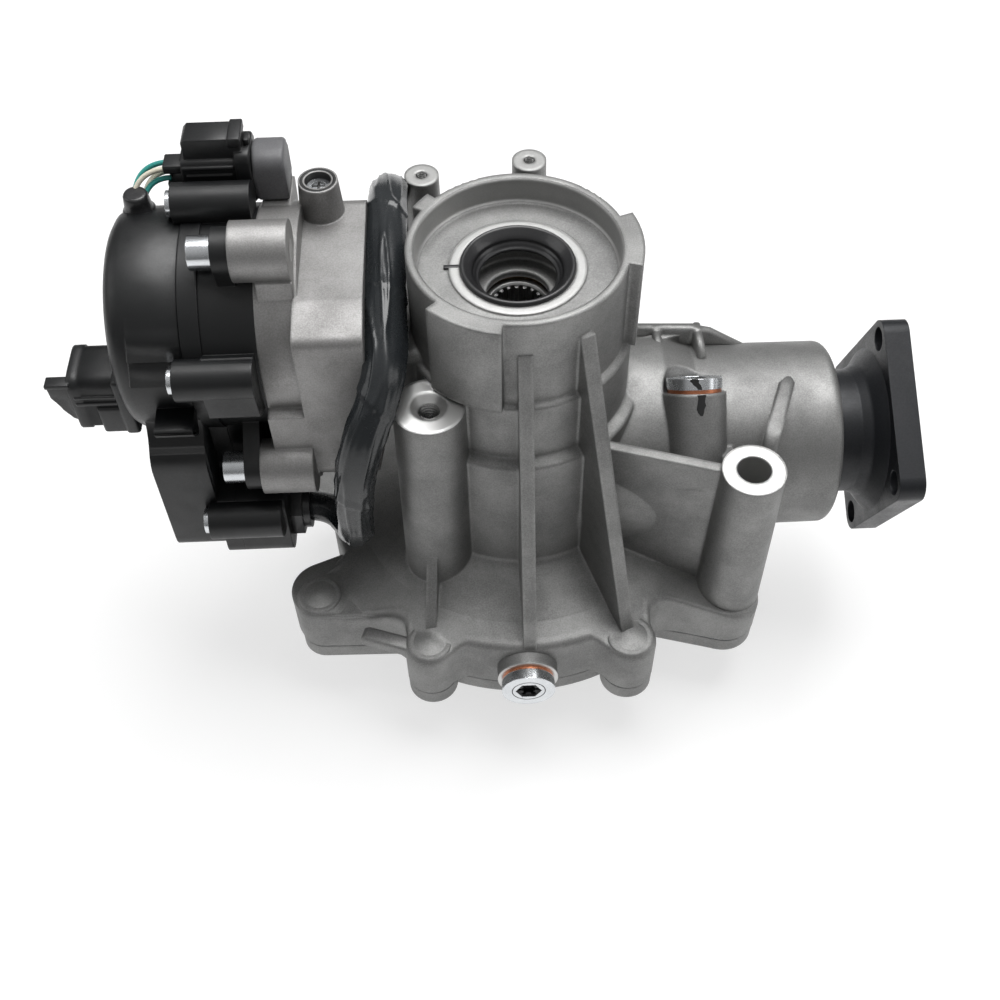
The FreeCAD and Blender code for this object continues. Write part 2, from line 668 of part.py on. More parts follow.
def ball_bearing(outer, bore, width, z, balls, ball_r):
    """Outer race, inner race and balls of a bearing about Z, its lower face at z."""
    pitch = (outer + bore) / 2
    track = Part.makeTorus(pitch, ball_r + RUN, V(0, 0, z + width / 2), Z)
    outer_race = less(ring(outer, pitch + ball_r * 0.55, width, V(0, 0, z)), track)
    inner_race = less(ring(pitch - ball_r * 0.55, bore + SIT, width, V(0, 0, z)), track)
    ball = Part.makeSphere(ball_r, V(pitch, 0, z + width / 2))
    return outer_race, inner_race, polar(balls, ball)


def roller_bearing(x, count=12):
    """Outer race, inner race and rollers of a pinion bearing about X, inner end at x."""
    outer, bore, wide = PINION_BORE_R, PINION_SHAFT_R, PINION_BEARING_W
    roller_r = 4.2
    pitch = (outer + bore) / 2
    outer_race = ring(outer, pitch + roller_r + RUN, wide, V(x, 0, 0), X)
    inner_race = ring(pitch - roller_r - SIT, bore + SIT, wide, V(x, 0, 0), X)
    roller = rod(roller_r, wide - 4, V(x + 2, pitch, 0), X)
    return outer_race, inner_race, polar(count, roller, X)


def lip_seal(z, inward, outer=SEAL_OD / 2, lip=SEAL_LIP_D / 2, thick=SEAL_T):
    """Shaft seal: steel-cored rubber ring with a thin lip; z is its outer face."""
    section = [(outer, 0), (outer, thick, 1), (outer - 2.4, thick, 1), (outer - 2.4, 2.2),
               (lip + 2.2, 2.2), (lip + 1.6, thick - 1.2), (lip, thick - 2.6), (lip + 0.9, 0)]
    return seated(turned(section), z, inward)


# Bevel gear set
def bevel_pair_ratio():
    return RING_TEETH / PINION_TEETH


def ring_bolt_holes(r, z, length):
    return polar(RING_BOLTS, rod(r, length, V(RING_BOLT_CIRCLE, 0, z)), first=RING_BOLT_TURN)


def ring_gear():
    root, inner = bevel_points(RING_TEETH, PINION_TEETH, RING_PITCH_R, BEVEL_FACE, BEVEL_DED)
    back = -RING_BACK_Z
    blank = turned([(RING_BORE_R, back), (root[0] + 1.2, back, 1.5), (root[0] + 1.2, root[1] + 1.5),
                    root, inner, (inner[0] - 4.5, inner[1] + 3.0), (RING_BORE_R, inner[1] + 3.0)])
    tooth = bevel_tooth(RING_TEETH, PINION_TEETH, RING_PITCH_R, BEVEL_FACE, BEVEL_ADD, BEVEL_DED,
                        TOOTH_SLIM)
    gear = joined(blank, *polar(RING_TEETH, tooth))
    gear.rotate(ORIGIN, X, 180)
    return less(gear, *ring_bolt_holes(RING_BOLT_R + SIT, RING_BACK_Z - 1, 12.0))


def pinion_shaft():
    pitch_r = RING_PITCH_R / bevel_pair_ratio()
    root, inner = bevel_points(PINION_TEETH, RING_TEETH, pitch_r, BEVEL_FACE, BEVEL_DED)
    back = REAR_BEARING_X
    blank = turned([(0, inner[1] - 2.5), (inner[0] - 4, inner[1] - 2.5), inner, root,
                    (root[0] + 0.5, back - 2.4), (HUB_ROOT_R, back - 2.0), (HUB_ROOT_R, back),
                    (PINION_SHAFT_R, back), (PINION_SHAFT_R, PINION_NECK_X, 1),
                    (FLANGE_BORE_R, PINION_NECK_X), (FLANGE_BORE_R, STUB_X),
                    (STUB_R, STUB_X), (STUB_R, SHAFT_END_X, 1.5), (0, SHAFT_END_X)])
    tooth = bevel_tooth(PINION_TEETH, RING_TEETH, pitch_r, BEVEL_FACE, BEVEL_ADD, BEVEL_DED,
                        TOOTH_SLIM)
    gear = seated(joined(blank, *polar(PINION_TEETH, tooth)), ORIGIN, X)
    gear.rotate(ORIGIN, X, 180.0 / PINION_TEETH)
    return gear


# Input flange
def flange_corner(i, r):
    angle = math.radians(PLATE_TURN + 90 * i)
    return (r * math.cos(angle), r * math.sin(angle))


def input_flange():
    reach = PLATE_HALF * math.sqrt(2)
    corners = [flange_corner(i, reach) + (PLATE_CORNER_R,) for i in range(4)]
    square = plate(corners, at_x(PLATE_X), V(PLATE_T, 0, 0))
    bevel = turned([(0, PLATE_X - 1), (reach - 4.0, PLATE_X - 1), (reach - 1.2, PLATE_X + 2),
                    (reach - 1.2, PLATE_X + PLATE_T - 2), (reach - 4.0, PLATE_X + PLATE_T + 1),
                    (0, PLATE_X + PLATE_T + 1)], X)
    start = FRONT_BEARING_X + PINION_BEARING_W
    hub = turned([(0, start), (HUB_ROOT_R, start), (HUB_ROOT_R, PINION_SEAL_X - 4),
                  (HUB_R - 1.5, PINION_SEAL_X - 3), (HUB_R, PINION_SEAL_X - 1),
                  (HUB_R, PLATE_X - 9), (HUB_R + 2.2, PLATE_X - 5, 3),
                  (HUB_R + 9, PLATE_X, 1), (HUB_R + 9, PLATE_X + 4), (0, PLATE_X + 4)], X)
    body = joined(square.common(bevel), hub)
    holes = [rod(PLATE_HOLE_R, 30, V(PLATE_X - 10, *flange_corner(i, PLATE_PCD / 2)), X)
             for i in range(4)]
    bore = rod(FLANGE_BORE_R + SIT, 80, V(start - 1, 0, 0), X)
    pocket = turned([(0, PLATE_X + 2), (NUT_POCKET_R, PLATE_X + 2),
                     (NUT_POCKET_R + 1.5, PLATE_X + PLATE_T + 1),
                     (0, PLATE_X + PLATE_T + 1)], X)
    return less(body, bore, pocket, *holes)


# Differential gears
def side_gear(top, splined_at):
    root, inner = bevel_points(SIDE_TEETH, SPIDER_TEETH, SIDE_PITCH_R, DIFF_FACE, DIFF_DED)
    blank = turned([(SPLINE_R, inner[1] - 0.8), (inner[0], inner[1]), root,
                    (SIDE_PITCH_R + 1, root[1] + 1), (SIDE_PITCH_R + 1, SIDE_BACK_Z),
                    (HUB_OUT_R, SIDE_BACK_Z), (HUB_OUT_R, top, 1), (SPLINE_R + 0.8, top),
                    (SPLINE_R, top - 0.8)])
    tooth = bevel_tooth(SIDE_TEETH, SPIDER_TEETH, SIDE_PITCH_R, DIFF_FACE, DIFF_ADD, DIFF_DED,
                        DIFF_SLIM)
    spline = plate([(SPLINE_R + 0.4, -0.95), (SPLINE_R - 1.0, -0.55), (SPLINE_R - 1.0, 0.55),
                    (SPLINE_R + 0.4, 0.95)], at_z(splined_at), V(0, 0, top - 1.5 - splined_at))
    return joined(blank, *(polar(SIDE_TEETH, tooth) + polar(SPLINE_TEETH, spline)))


def spider_gear(axis):
    pitch_r = SIDE_PITCH_R * SPIDER_TEETH / SIDE_TEETH
    root, inner = bevel_points(SPIDER_TEETH, SIDE_TEETH, pitch_r, DIFF_FACE, DIFF_DED)
    blank = turned([(CROSS_PIN_R + RUN, inner[1] - 0.4), (inner[0], inner[1]), root,
                    (pitch_r + 0.7, root[1] + 0.8), (pitch_r + 0.7, SPIDER_BACK, 1),
                    (CROSS_PIN_R + RUN, SPIDER_BACK)])
    tooth = bevel_tooth(SPIDER_TEETH, SIDE_TEETH, pitch_r, DIFF_FACE, DIFF_ADD, DIFF_DED, DIFF_SLIM)
    return seated(joined(blank, *polar(SPIDER_TEETH, tooth)), ORIGIN, axis)


def carrier_case():
    low = RING_BACK_Z - CARRIER_FLANGE_T
    shell = turned([(0, low), (CARRIER_FLANGE_R, low, 1),
                    (CARRIER_FLANGE_R, RING_BACK_Z, 1), (RING_BORE_R - SIT, RING_BACK_Z),
                    (RING_BORE_R - SIT, -37.0, 1), (CARRIER_R, -35.0), (CARRIER_R, 20.0, 6),
                    (25.0, LEFT_BEARING_Z - 0.4, 2), (BEARING_LAND_R, LEFT_BEARING_Z),
                    (TRUNNION_R, LEFT_BEARING_Z), (TRUNNION_R, TRUNNION_TOP, 1),
                    (0, TRUNNION_TOP)])
    room = turned([(0, -70), (SPIGOT_R + SIT, -70), (SPIGOT_R + SIT, -CHAMBER_Z),
                   (CARRIER_ROOM_R, -CHAMBER_Z), (CARRIER_ROOM_R, CHAMBER_Z),
                   (HUB_OUT_R + RUN, CHAMBER_Z), (HUB_OUT_R + RUN, 90), (0, 90)])
    pockets = rod(15.0, 2 * SPIDER_SEAT, V(0, -SPIDER_SEAT, 0), Y)
    pin = rod(CROSS_PIN_R + SIT, 100, V(0, -50, 0), Y)
    window = plate([(-12, -15, 5), (12, -15, 5), (12, 15, 5), (-12, 15, 5)], at_x(-50),
                   V(100, 0, 0))
    half = KEY_HALF + 0.15
    groove = plate([(TRUNNION_R - 2.3, -half), (TRUNNION_R + 1, -half), (TRUNNION_R + 1, half),
                    (TRUNNION_R - 2.3, half)], at_z(SLEEVE_Z - 2.0), V(0, 0, 30))
    holes = ring_bolt_holes(RING_BOLT_R + BOLT_CLEAR, RING_BACK_Z - 15, 30)
    return less(shell, room, pockets, pin, window, *(polar(DOGS, groove) + holes))


def carrier_cover():
    top = RING_BACK_Z - CARRIER_FLANGE_T
    low = top - CARRIER_FLANGE_T
    shape = turned([(HUB_OUT_R + RUN, -CHAMBER_Z), (SPIGOT_R, -CHAMBER_Z), (SPIGOT_R, top),
                    (CARRIER_FLANGE_R, top, 1), (CARRIER_FLANGE_R, low, 2), (36.0, low, 3),
                    (25.0, RIGHT_BEARING_Z + CARRIER_BEARING_W + 1, 1),
                    (BEARING_LAND_R, RIGHT_BEARING_Z + CARRIER_BEARING_W),
                    (TRUNNION_R, RIGHT_BEARING_Z + CARRIER_BEARING_W),
                    (TRUNNION_R, RIGHT_BEARING_Z + 0.4, 1), (HUB_OUT_R + RUN, RIGHT_BEARING_Z + 0.4)])
    return less(shape, *ring_bolt_holes(RING_BOLT_R + BOLT_CLEAR, low - 15, 30))


def lock_sleeve():
    bore = TRUNNION_R + RUN
    body = turned([(bore, SLEEVE_Z), (SLEEVE_R, SLEEVE_Z, 1), (SLEEVE_R, GROOVE_Z),
                   (GROOVE_R, GROOVE_Z), (GROOVE_R, GROOVE_Z + GROOVE_H),
                   (SLEEVE_R, GROOVE_Z + GROOVE_H), (SLEEVE_R, SLEEVE_Z + SLEEVE_H, 0.6),
                   (bore, SLEEVE_Z + SLEEVE_H)])
    foot = TRUNNION_R - 2.0
    key = plate([(foot, -KEY_HALF), (bore + 0.5, -KEY_HALF), (bore + 0.5, KEY_HALF),
                 (foot, KEY_HALF)], at_z(SLEEVE_Z), V(0, 0, SLEEVE_H))
    step = 180.0 / DOGS
    dog = sector(DOG_IN_R, DOG_OUT_R, -step / 2 + DOG_SLACK, step / 2 - DOG_SLACK,
                 SLEEVE_Z + SLEEVE_H - 0.5, SLEEVE_Z + SLEEVE_H + DOG_H)
    return joined(body, *(polar(DOGS, key) + polar(DOGS, dog)))


def lock_collar():
    body = ring(30.0, HUB_OUT_R + SIT, 6.6, V(0, 0, LOCK_HUB_Z))
    step = 180.0 / DOGS
    dog = sector(DOG_IN_R, DOG_OUT_R, step / 2 + DOG_SLACK, 3 * step / 2 - DOG_SLACK,
                 LOCK_HUB_Z - DOG_H, LOCK_HUB_Z + 0.5)
    return joined(body, *polar(DOGS, dog))


# Fork, rail and actuator train
def shift_rail():
    body = rod(RAIL_R, RAIL_L, V(RAIL_X, RAIL_Y, RAIL_Z))
    pitch = math.pi * RACK_MODULE
    flat = RACK_PITCH_Y - 0.7 * RACK_MODULE
    deep = RACK_PITCH_Y + 1.25 * RACK_MODULE
    tools = [Part.makeBox(20, 10, 34, V(RAIL_X - 10, flat - 10, OUTPUT_Z - 19))]
    wide = pitch / 4 + 0.05
    for k in range(-4, 5):
        z = OUTPUT_Z + k * pitch
        space = [(flat - 1, z - wide - 0.78), (deep, z - wide + 0.56), (deep, z + wide - 0.56),
                 (flat - 1, z + wide + 0.78)]
        tools.append(plate(space, at_x(RAIL_X - 10), V(20, 0, 0)))
    return less(body, *tools)


def shift_fork():
    z0 = GROOVE_Z + GAP
    z1 = GROOVE_Z + GROOVE_H - GAP
    shoe = sector(GROOVE_R + GAP, CHAMBER_R - 0.5, 95, 265, z0, z1)
    arm = plate([(RAIL_X, 4.5, 2), (-29.5, -5, 1), (-29.5, 15, 1), (RAIL_X, 23.5, 2)], at_z(z0),
                V(0, 0, z1 - z0))
    stiff = plate([(RAIL_X, 12), (-34.5, 3.5), (-34.5, 9), (RAIL_X, 16)], at_z(z1 - 1),
                  V(0, 0, 6.4))
    boss = rod(RAIL_R + 3.6, 15, V(RAIL_X, RAIL_Y, z0 - 1.5))
    keep = less(arm, rod(GROOVE_R + GAP, 30, V(0, 0, z0 - 2)))
    return less(joined(shoe, keep, stiff, boss), rod(RAIL_R + SIT, 30, V(RAIL_X, RAIL_Y, z0 - 5)))


OUTPUT = (RACK_PITCH_Y - RACK_MODULE * OUTPUT_TEETH / 2, OUTPUT_Z)
MOTOR = (MOTOR_Y, MOTOR_Z)


def idler_centre():
    """Where the idler meshes with both the sector and the motor pinion."""
    to_output = TRAIN_MODULE * (SECTOR_TEETH + IDLER_PINION_TEETH) / 2
    to_motor = TRAIN_MODULE * (IDLER_TEETH + MOTOR_TEETH) / 2
    dy, dz = MOTOR[0] - OUTPUT[0], MOTOR[1] - OUTPUT[1]
    span = math.hypot(dy, dz)
    along = (to_output ** 2 - to_motor ** 2 + span ** 2) / (2 * span)
    across = math.sqrt(to_output ** 2 - along ** 2)
    ey, ez = dy / span, dz / span
    return (OUTPUT[0] + along * ey + across * ez, OUTPUT[1] + along * ez - across * ey)


IDLER = idler_centre()


def bearing_of(a, b):
    return math.degrees(math.atan2(b[1] - a[1], b[0] - a[0]))


def train_wheel(centre, count, module, x0, x1, angle, teeth=None, slim=0.13):
    """Spur wheel about X between two stations, one tooth centred at an angle in the y-z plane."""
    wheel = spur(count, module, x1 - x0, slim, angle + 90.0, teeth)
    return seated(wheel, V(x0, centre[0], centre[1]), X)


def output_gear():
    to_idler = bearing_of(OUTPUT, IDLER)
    step = 360.0 / SECTOR_TEETH
    wheel = train_wheel(OUTPUT, SECTOR_TEETH, TRAIN_MODULE, *SECTOR_X, to_idler - 3 * step,
                        SECTOR_SHOWN)
    rack_gear = train_wheel(OUTPUT, OUTPUT_TEETH, RACK_MODULE, -82.0, -70.0, 0.0)
    wide = SECTOR_X[1] - SECTOR_X[0]
    keep = joined(rod(9.5, wide, ORIGIN),
                  sector(3.0, 26.0, to_idler + 90 - 66, to_idler + 90 + 20, 0, wide))
    wheel = wheel.common(seated(keep, V(SECTOR_X[0], OUTPUT[0], OUTPUT[1]), X))
    shaft = rod(OUTPUT_SHAFT_R, 54.0, V(SECTOR_X[0] - 3.5, OUTPUT[0], OUTPUT[1]), X)
    return joined(wheel, rack_gear, shaft)


def idler_gear():
    to_motor = bearing_of(IDLER, MOTOR)
    big = train_wheel(IDLER, IDLER_TEETH, TRAIN_MODULE, -119.0, -114.0, to_motor)
    small = train_wheel(IDLER, IDLER_PINION_TEETH, TRAIN_MODULE, -114.5, -105.5,
                        bearing_of(OUTPUT, IDLER) + 180.0 + 180.0 / IDLER_PINION_TEETH)
    return less(joined(big, small), rod(IDLER_PIN_R + RUN, 30, V(-125, IDLER[0], IDLER[1]), X))


def motor_pinion():
    gear = train_wheel(MOTOR, MOTOR_TEETH, TRAIN_MODULE, -119.6, -113.4,
                       bearing_of(IDLER, MOTOR) + 180.0 + 180.0 / MOTOR_TEETH)
    return joined(gear, rod(MOTOR_SHAFT_R, 12, V(CAP_STEP, MOTOR[0], MOTOR[1]), X))


# Actuator housings, drawn in the plane across X
def drum(x0, x1, r):
    return rod(r, x1 - x0, V(x0, MOTOR_Y, MOTOR_Z), X)


def adapter_housing():
    block = slab([(-34, 100, 5), (-16, 105, 8), (47, 105, 8), (50, 50, 10), (34, 6, 8),
                  (-6, 6, 8), (-34, 24, 8)], BAND_X - 2, ADAPTER_X)
    lobe = slab([(-34, 60), (-34, 18, 8), (20, 18, 8), (42, 40), (15, 70)], ADAPTER_FACE, BAND_X)
    boss = taper(9.3, VENT_R, VENT_TOP - 100.0, V(VENT_X, VENT_Y, 100.0))
    lugs = [rod(LUG_OD / 2, LUG_X1 - LUG_X0, V(LUG_X0, y, z), X) for y, z in ACTUATOR_LUGS]
    web = slab([(-13, 112), (-16, 92), (14, 92), (9, 114)], LUG_X0 + 8, LUG_X1)
    side_web = slab([(52, 78), (40, 50), (58, 44), (76, 52), (72, 66)], ADAPTER_FACE + 2, LUG_X1)
    seat = SENSOR_Z - 10.0
    pedestal = slab([(30, 100), (30, seat, 3), (53, seat, 3), (51, 96)], ADAPTER_FACE + 1, BAND_X - 4)
    shaft_boss = rod(SHAFT_BOSS_R, 9.0, V(ADAPTER_X - 9.0, OUTPUT[0], OUTPUT[1]), X)
    solid = joined(drum(ADAPTER_FACE, BAND_X, DRUM_R), block, lobe, boss, web, side_web,
                   pedestal, *lugs)
    room = slab([(-29.5, 84, 4), (43, 84, 4), (45, 52, 6), (31, 26, 6), (-8, 26, 6),
                 (-29.5, 32, 4)], BAND_X - 1, ADAPTER_X - 3.2)
    neck = hull(MOTOR, 32.0, OUTPUT, 13.0, at_x(ADAPTER_FACE - 1), V(BAND_X - ADAPTER_FACE + 2, 0, 0))
    port = port_block(ADAPTER_X - 8, ADAPTER_X + 1, PORT_WALL)
    tools = [less(room, shaft_boss), neck, port,
             rod(RAIL_R + RUN, 91.5, V(RAIL_X, RAIL_Y, 9.5)),
             rod(OUTPUT_SHAFT_R + RUN, 8.0, V(ADAPTER_X - 10.0, OUTPUT[0], OUTPUT[1]), X),
             drum(CAP_SEAM, ADAPTER_FACE, DRUM_R + 0.05),
             rod(VENT_R - 2.6, 6.2, V(VENT_X, VENT_Y, VENT_TOP - 6.0)),
             rod(2.5 + SIT, 14.0, V(VENT_X, VENT_Y, VENT_TOP - 19.0))]
    for y, z in ACTUATOR_LUGS:
        tools.append(rod(LUG_SCREW_R + SIT, 22.0, V(LUG_X0 - 1, y, z), X))
    return less(solid, *tools)


def case_outline(x0, x1, r, inset=0.0):
    """Gear case section: round drum with a stepped lobe below it."""
    i = inset
    lobe = slab([(-20 + i, 60), (-20 + i, 16.5 - i, 3), (-41 + i, 13 - i, 4), (-42 + i, -22 + i, 8),
                 (4 - i, -22 + i, 11), (43 - i, 38, 10), (20, 70)], x0, x1)
    return joined(drum(x0, x1, r - i), lobe)


def case_screw_bosses(grow=0.0):
    length = LUG_X0 + 5.1 - CASE_BOSS_END
    return [rod(CASE_BOSS_R + grow, length, V(CASE_BOSS_END, y, z), X) for y, z in CASE_SCREWS]


def gear_case():
    solid = case_outline(CAP_SEAM, ADAPTER_FACE, DRUM_R)
    cavity = case_outline(CAP_SEAM - 1, ADAPTER_FACE - 3.0, DRUM_R, 3.2)
    spacers = [rod(LUG_SPACER_R, LUG_SPACER_T, V(LUG_X0 - LUG_SPACER_T, y, z), X)
               for y, z in ACTUATOR_LUGS]
    arms = [hull(lug, LUG_SPACER_R, toward, 12.0, at_x(LUG_X0 - LUG_SPACER_T), V(LUG_SPACER_T, 0, 0))
            for lug, toward in zip(ACTUATOR_LUGS, ((6.0, 100.0), (-8.0, 44.0), (46.0, 62.0)))]
    wedge = slab([(-41.4, 84), (-39, 67, 2), (-28, 60), (-18, 84), (-30, 91)], CAP_SEAM,
                 ADAPTER_FACE - 1.2)
    shaft_boss = rod(SHAFT_BOSS_R, 5.4, V(ADAPTER_FACE - 5.7, OUTPUT[0], OUTPUT[1]), X)
    pin_boss = rod(5.0, 4.4, V(ADAPTER_FACE - 4.7, IDLER[0], IDLER[1]), X)
    shell = less(joined(solid, wedge, *(spacers + arms + case_screw_bosses())), cavity)
    tools = [rod(OUTPUT_SHAFT_R + RUN, 12, V(ADAPTER_FACE - 9, OUTPUT[0], OUTPUT[1]), X),
             rod(IDLER_PIN_R + SIT, 4.5, V(ADAPTER_FACE - 6, IDLER[0], IDLER[1]), X)]
    for y, z in ACTUATOR_LUGS:
        tools.append(rod(LUG_SCREW_R + 0.2, 20, V(LUG_X0 - LUG_SPACER_T - 1, y, z), X))
    for y, z in CASE_SCREWS:
        tools.append(rod(CASE_SCREW_R + SIT, 22.0, V(CASE_BOSS_END - 1, y, z), X))
    return less(joined(shell, shaft_boss, pin_boss), *tools)


def mid_ring():
    solid = case_outline(CAP_STEP, CAP_SEAM, DRUM_R + 0.7)
    cavity = case_outline(CAP_STEP - 1, CAP_SEAM - 2.2, DRUM_R, 4.4)
    hole = rod(3.4, 10, V(CAP_SEAM - 5, MOTOR_Y, MOTOR_Z), X)
    return less(solid, cavity, hole, *case_screw_bosses(SIT))


def motor_cap():
    profile = [(0, CAP_END), (DRUM_R - 0.2, CAP_END, 6), (DRUM_R, CAP_STEP), (0, CAP_STEP)]
    shell = turned(profile, X)
    shell.translate(V(0, MOTOR_Y, MOTOR_Z))
    lobe = slab([(-38, 52, 5), (-38, -20, 9), (3, -20, 12), (43, 38, 10), (20, 70)],
                CAP_END + 3.5, CAP_STEP)
    ribs = []
    for y, z in ((0, 0), (6, 7)):
        ribs.append(slab([(y - 30.5, z + 76), (y - 33.5, z + 78), (y - 20, z + 92), (y - 18, z + 90)],
                         CAP_END + 8.0, CAP_STEP - 1))
    cavity = drum(CAP_END + CAP_WALL, CAP_STEP + 1, DRUM_R - 4.0)
    low = slab([(-34, 54, 3), (-34, -16, 5), (1, -16, 8), (38, 40, 6), (20, 70)],
               CAP_END + 7.0, CAP_STEP + 1)
    boot_hole = rod(BOOT_STEM_R + 0.1, 30, V(BOOT[0], BOOT[1], 95.0))
    tools = [cavity, low, boot_hole]
    for y, z in CASE_SCREWS:
        tools.append(rod(CASE_BOSS_R + 0.05, 12.0, V(CASE_BOSS_END - 4.0, y, z), X))
    return less(joined(shell, lobe, *ribs), *tools)


def motor():
    back = CAP_END + CAP_WALL + 0.4
    body = rod(MOTOR_R, MOTOR_L, V(back, MOTOR_Y, MOTOR_Z), X)
    nose = rod(8.0, 1.4, V(back + MOTOR_L, MOTOR_Y, MOTOR_Z), X)
    bore = rod(MOTOR_SHAFT_R + RUN, 8, V(CAP_STEP - 0.4, MOTOR_Y, MOTOR_Z), X)
    return less(joined(body, nose), bore)


def power_socket():
    half_w, half_h = SOCKET_W / 2, SOCKET_H / 2

    def frame(x0, x1, inset):
        a, b = half_w - inset, half_h - inset
        y, z = SOCKET_Y, SOCKET_Z
        return slab([(y - a, z - b, 4), (y + a, z - b, 4), (y + a, z + b, 4), (y - a, z + b, 4)],
                    x0, x1)

    tip = SOCKET_TIP
    body = frame(tip, CAP_END, 0)
    rim = frame(tip, tip + 5.0, -1.2)
    root = frame(CAP_END - 6.0, CAP_END, -2.0)
    side = SOCKET_Y - half_w
    tongue = slab([(side - 4.0, SOCKET_Z - 9), (side - 1.0, SOCKET_Z - 9), (side - 1.0, SOCKET_Z + 9),
                   (side - 4.0, SOCKET_Z + 9)], tip - 10.0, tip + 14.0)
    post = slab([(side - 3.5, SOCKET_Z - 5), (side + 1, SOCKET_Z - 5), (side + 1, SOCKET_Z + 5),
                 (side - 3.5, SOCKET_Z + 5)], tip + 6.0, tip + 14.0)
    grooves = []
    for z in (SOCKET_Z - 8.5, SOCKET_Z + 6.5):
        grooves.append(slab([(side - 1, z), (side + 0.9, z), (side + 0.9, z + 2.2),
                             (side - 1, z + 2.2)], tip + 7.0, CAP_END - 7.0))
    mouth = frame(tip - 1, tip + SOCKET_DEPTH, 2.3)
    pins = [rod(PIN_R + SIT, 12, V(tip + SOCKET_DEPTH - 1, y, z), X) for y, z in PIN_PLACES]
    return less(joined(body, rim, root, tongue, post), mouth, *(grooves + pins))


def socket_pins():
    return [joined(rod(PIN_R, 17, V(SOCKET_TIP + SOCKET_DEPTH - 12, y, z), X),
                   Part.makeSphere(PIN_R, V(SOCKET_TIP + SOCKET_DEPTH - 12, y, z)))
            for y, z in PIN_PLACES]


def sensor_plug():
    y, z = SENSOR_Y, SENSOR_Z
    body = slab([(y - 8, z - 9, 2.5), (y + 8, z - 9, 2.5), (y + 8, z + 9, 2.5), (y - 8, z + 9, 2.5)],
                -128.7, -101.4)
    collar = slab([(y - 9, z - 11, 3), (y + 9, z - 11, 3), (y + 9, z + 11, 3), (y - 9, z + 11, 3)],
                  -107.8, -101.4)
    latch = plate([(-126.0, z + 8), (-121.0, z + 13, 2), (-112.0, z + 17, 2), (-106.0, z + 17, 2),
                   (-104.5, z + 8)], lambda u, v: V(u, y - 3.5, v), V(0, 7, 0))
    tail = rod(5.6, 9.0, V(PLUG_TAIL_X, y, z), X)
    ribs = [slab([(y - 8.7, z + k), (y - 7, z + k), (y - 7, z + k + 1.6), (y - 8.7, z + k + 1.6)],
                 -126.0, -109.0) for k in (-5.5, 0.0, 5.5)]
    holes = [rod(WIRE_R + SIT, 4, V(PLUG_TAIL_X - 1.0, *wire_start(i)), X) for i in range(WIRES)]
    return less(joined(body, collar, latch, tail, *ribs), *holes)


def sensor_socket():
    y, z = SENSOR_Y, SENSOR_Z
    head = slab([(y - 9, z - 10, 2), (y + 9, z - 10, 2), (y + 9, z + 9, 2), (y - 9, z + 9, 2)],
                -101.4, -88.5)
    recess = slab([(y - 6, z - 7, 1), (y + 6, z - 7, 1), (y + 6, z + 6, 1), (y - 6, z + 6, 1)],
                  -101.4, -99.0)
    return less(head, recess)


# Cords
def bent_rod(name, points, radius):
    """Round cord along straight runs that tangent arcs join; prints its bends and length."""
    marks = [V(*p) for p in points]
    edges = []
    bends = []
    start = marks[0]
    for i in range(1, len(marks) - 1):
        here = marks[i]
        back = marks[i - 1] - here
        ahead = marks[i + 1] - here
        shorter = min(back.Length, ahead.Length)
        back.normalize()
        ahead.normalize()
        half = back.getAngle(ahead) / 2
        reach = 0.45 * shorter
        bend = reach * math.tan(half)
        middle = (back + ahead).normalize() * (bend / math.sin(half) - bend)
        a = here + back * reach
        b = here + ahead * reach
        edges.append(Part.LineSegment(start, a).toShape())
        edges.append(Part.Arc(a, here + middle, b).toShape())
        bends.append(bend)
        start = b
    edges.append(Part.LineSegment(start, marks[-1]).toShape())
    path = Part.Wire(edges)
    heading = (marks[1] - marks[0]).normalize()
    section = Part.Wire([Part.makeCircle(radius, marks[0], heading)])
    solid = path.makePipeShell([section], True, False, 2)
    full = math.pi * radius ** 2 * path.Length
    print(name, "length", round(path.Length, 1), "tightest bend", round(min(bends), 1),
          "volume against section x length", round(solid.Volume / full, 4))
    return solid


def wire_angle(i):
    return math.radians(45 + 360.0 * i / WIRES)


def wire_start(i):
    reach = WIRE_RING_R + 0.2
    return (SENSOR_Y + reach * math.cos(wire_angle(i)), SENSOR_Z + reach * math.sin(wire_angle(i)))


def lead_wires():
    wires = []
    for i in range(WIRES):
        y, z = wire_start(i)
        angle = wire_angle(i)
        down_x = BOOT[0] - WIRE_RING_R * math.sin(angle)
        down_y = BOOT[1] + WIRE_RING_R * math.cos(angle)
        route = [(PLUG_TAIL_X + 2.5, y, z), (down_x, y, z), (down_x, down_y, WIRE_END_Z)]
        wires.append(bent_rod("wire", route, WIRE_R))
    return wires


def wire_boot(wires):
    """Rubber boot in the cap's wall, seated on the drum, with a way through for each wire."""
    place = V(BOOT[0], BOOT[1], 0)
    body = turned([(0, 107.5), (BOOT_STEM_R, 107.5), (BOOT_STEM_R, 111.5), (8.0, 112.0),
                   (7.0, 119.0, 1.5), (0, 119.0)])
    body.translate(place)
    hollow = rod(3.2, 6.9, place + V(0, 0, WIRE_END_Z - 7.0))
    seat = less(drum(CAP_END, CAP_STEP, DRUM_R + SIT), rod(BOOT_STEM_R, 30, place + V(0, 0, 90)))
    return less(body, seat, hollow, *wires)


def glands():
    start, end = V(*LOOM_ROUTE[0]), V(*LOOM_ROUTE[-1])
    entry = ring(GLAND_R, LOOM_R + SIT, GLAND_L, start, X)
    nut = less(hexagon(22.0, 5.0, start, X), rod(LOOM_R + SIT, 10, start - X, X))
    tail = joined(rod(GLAND_R, 16.0, end - Z * 20, Z),
                  taper(GLAND_R, GLAND_R - 1.5, 5.0, end - Z * 4, Z))
    tail = less(tail, rod(LOOM_R + SIT, 10, end, Z), rod(6.0, 12, end - Z * 22, Z))
    return [joined(entry, nut), tail]


os.makedirs("parts", exist_ok=True)

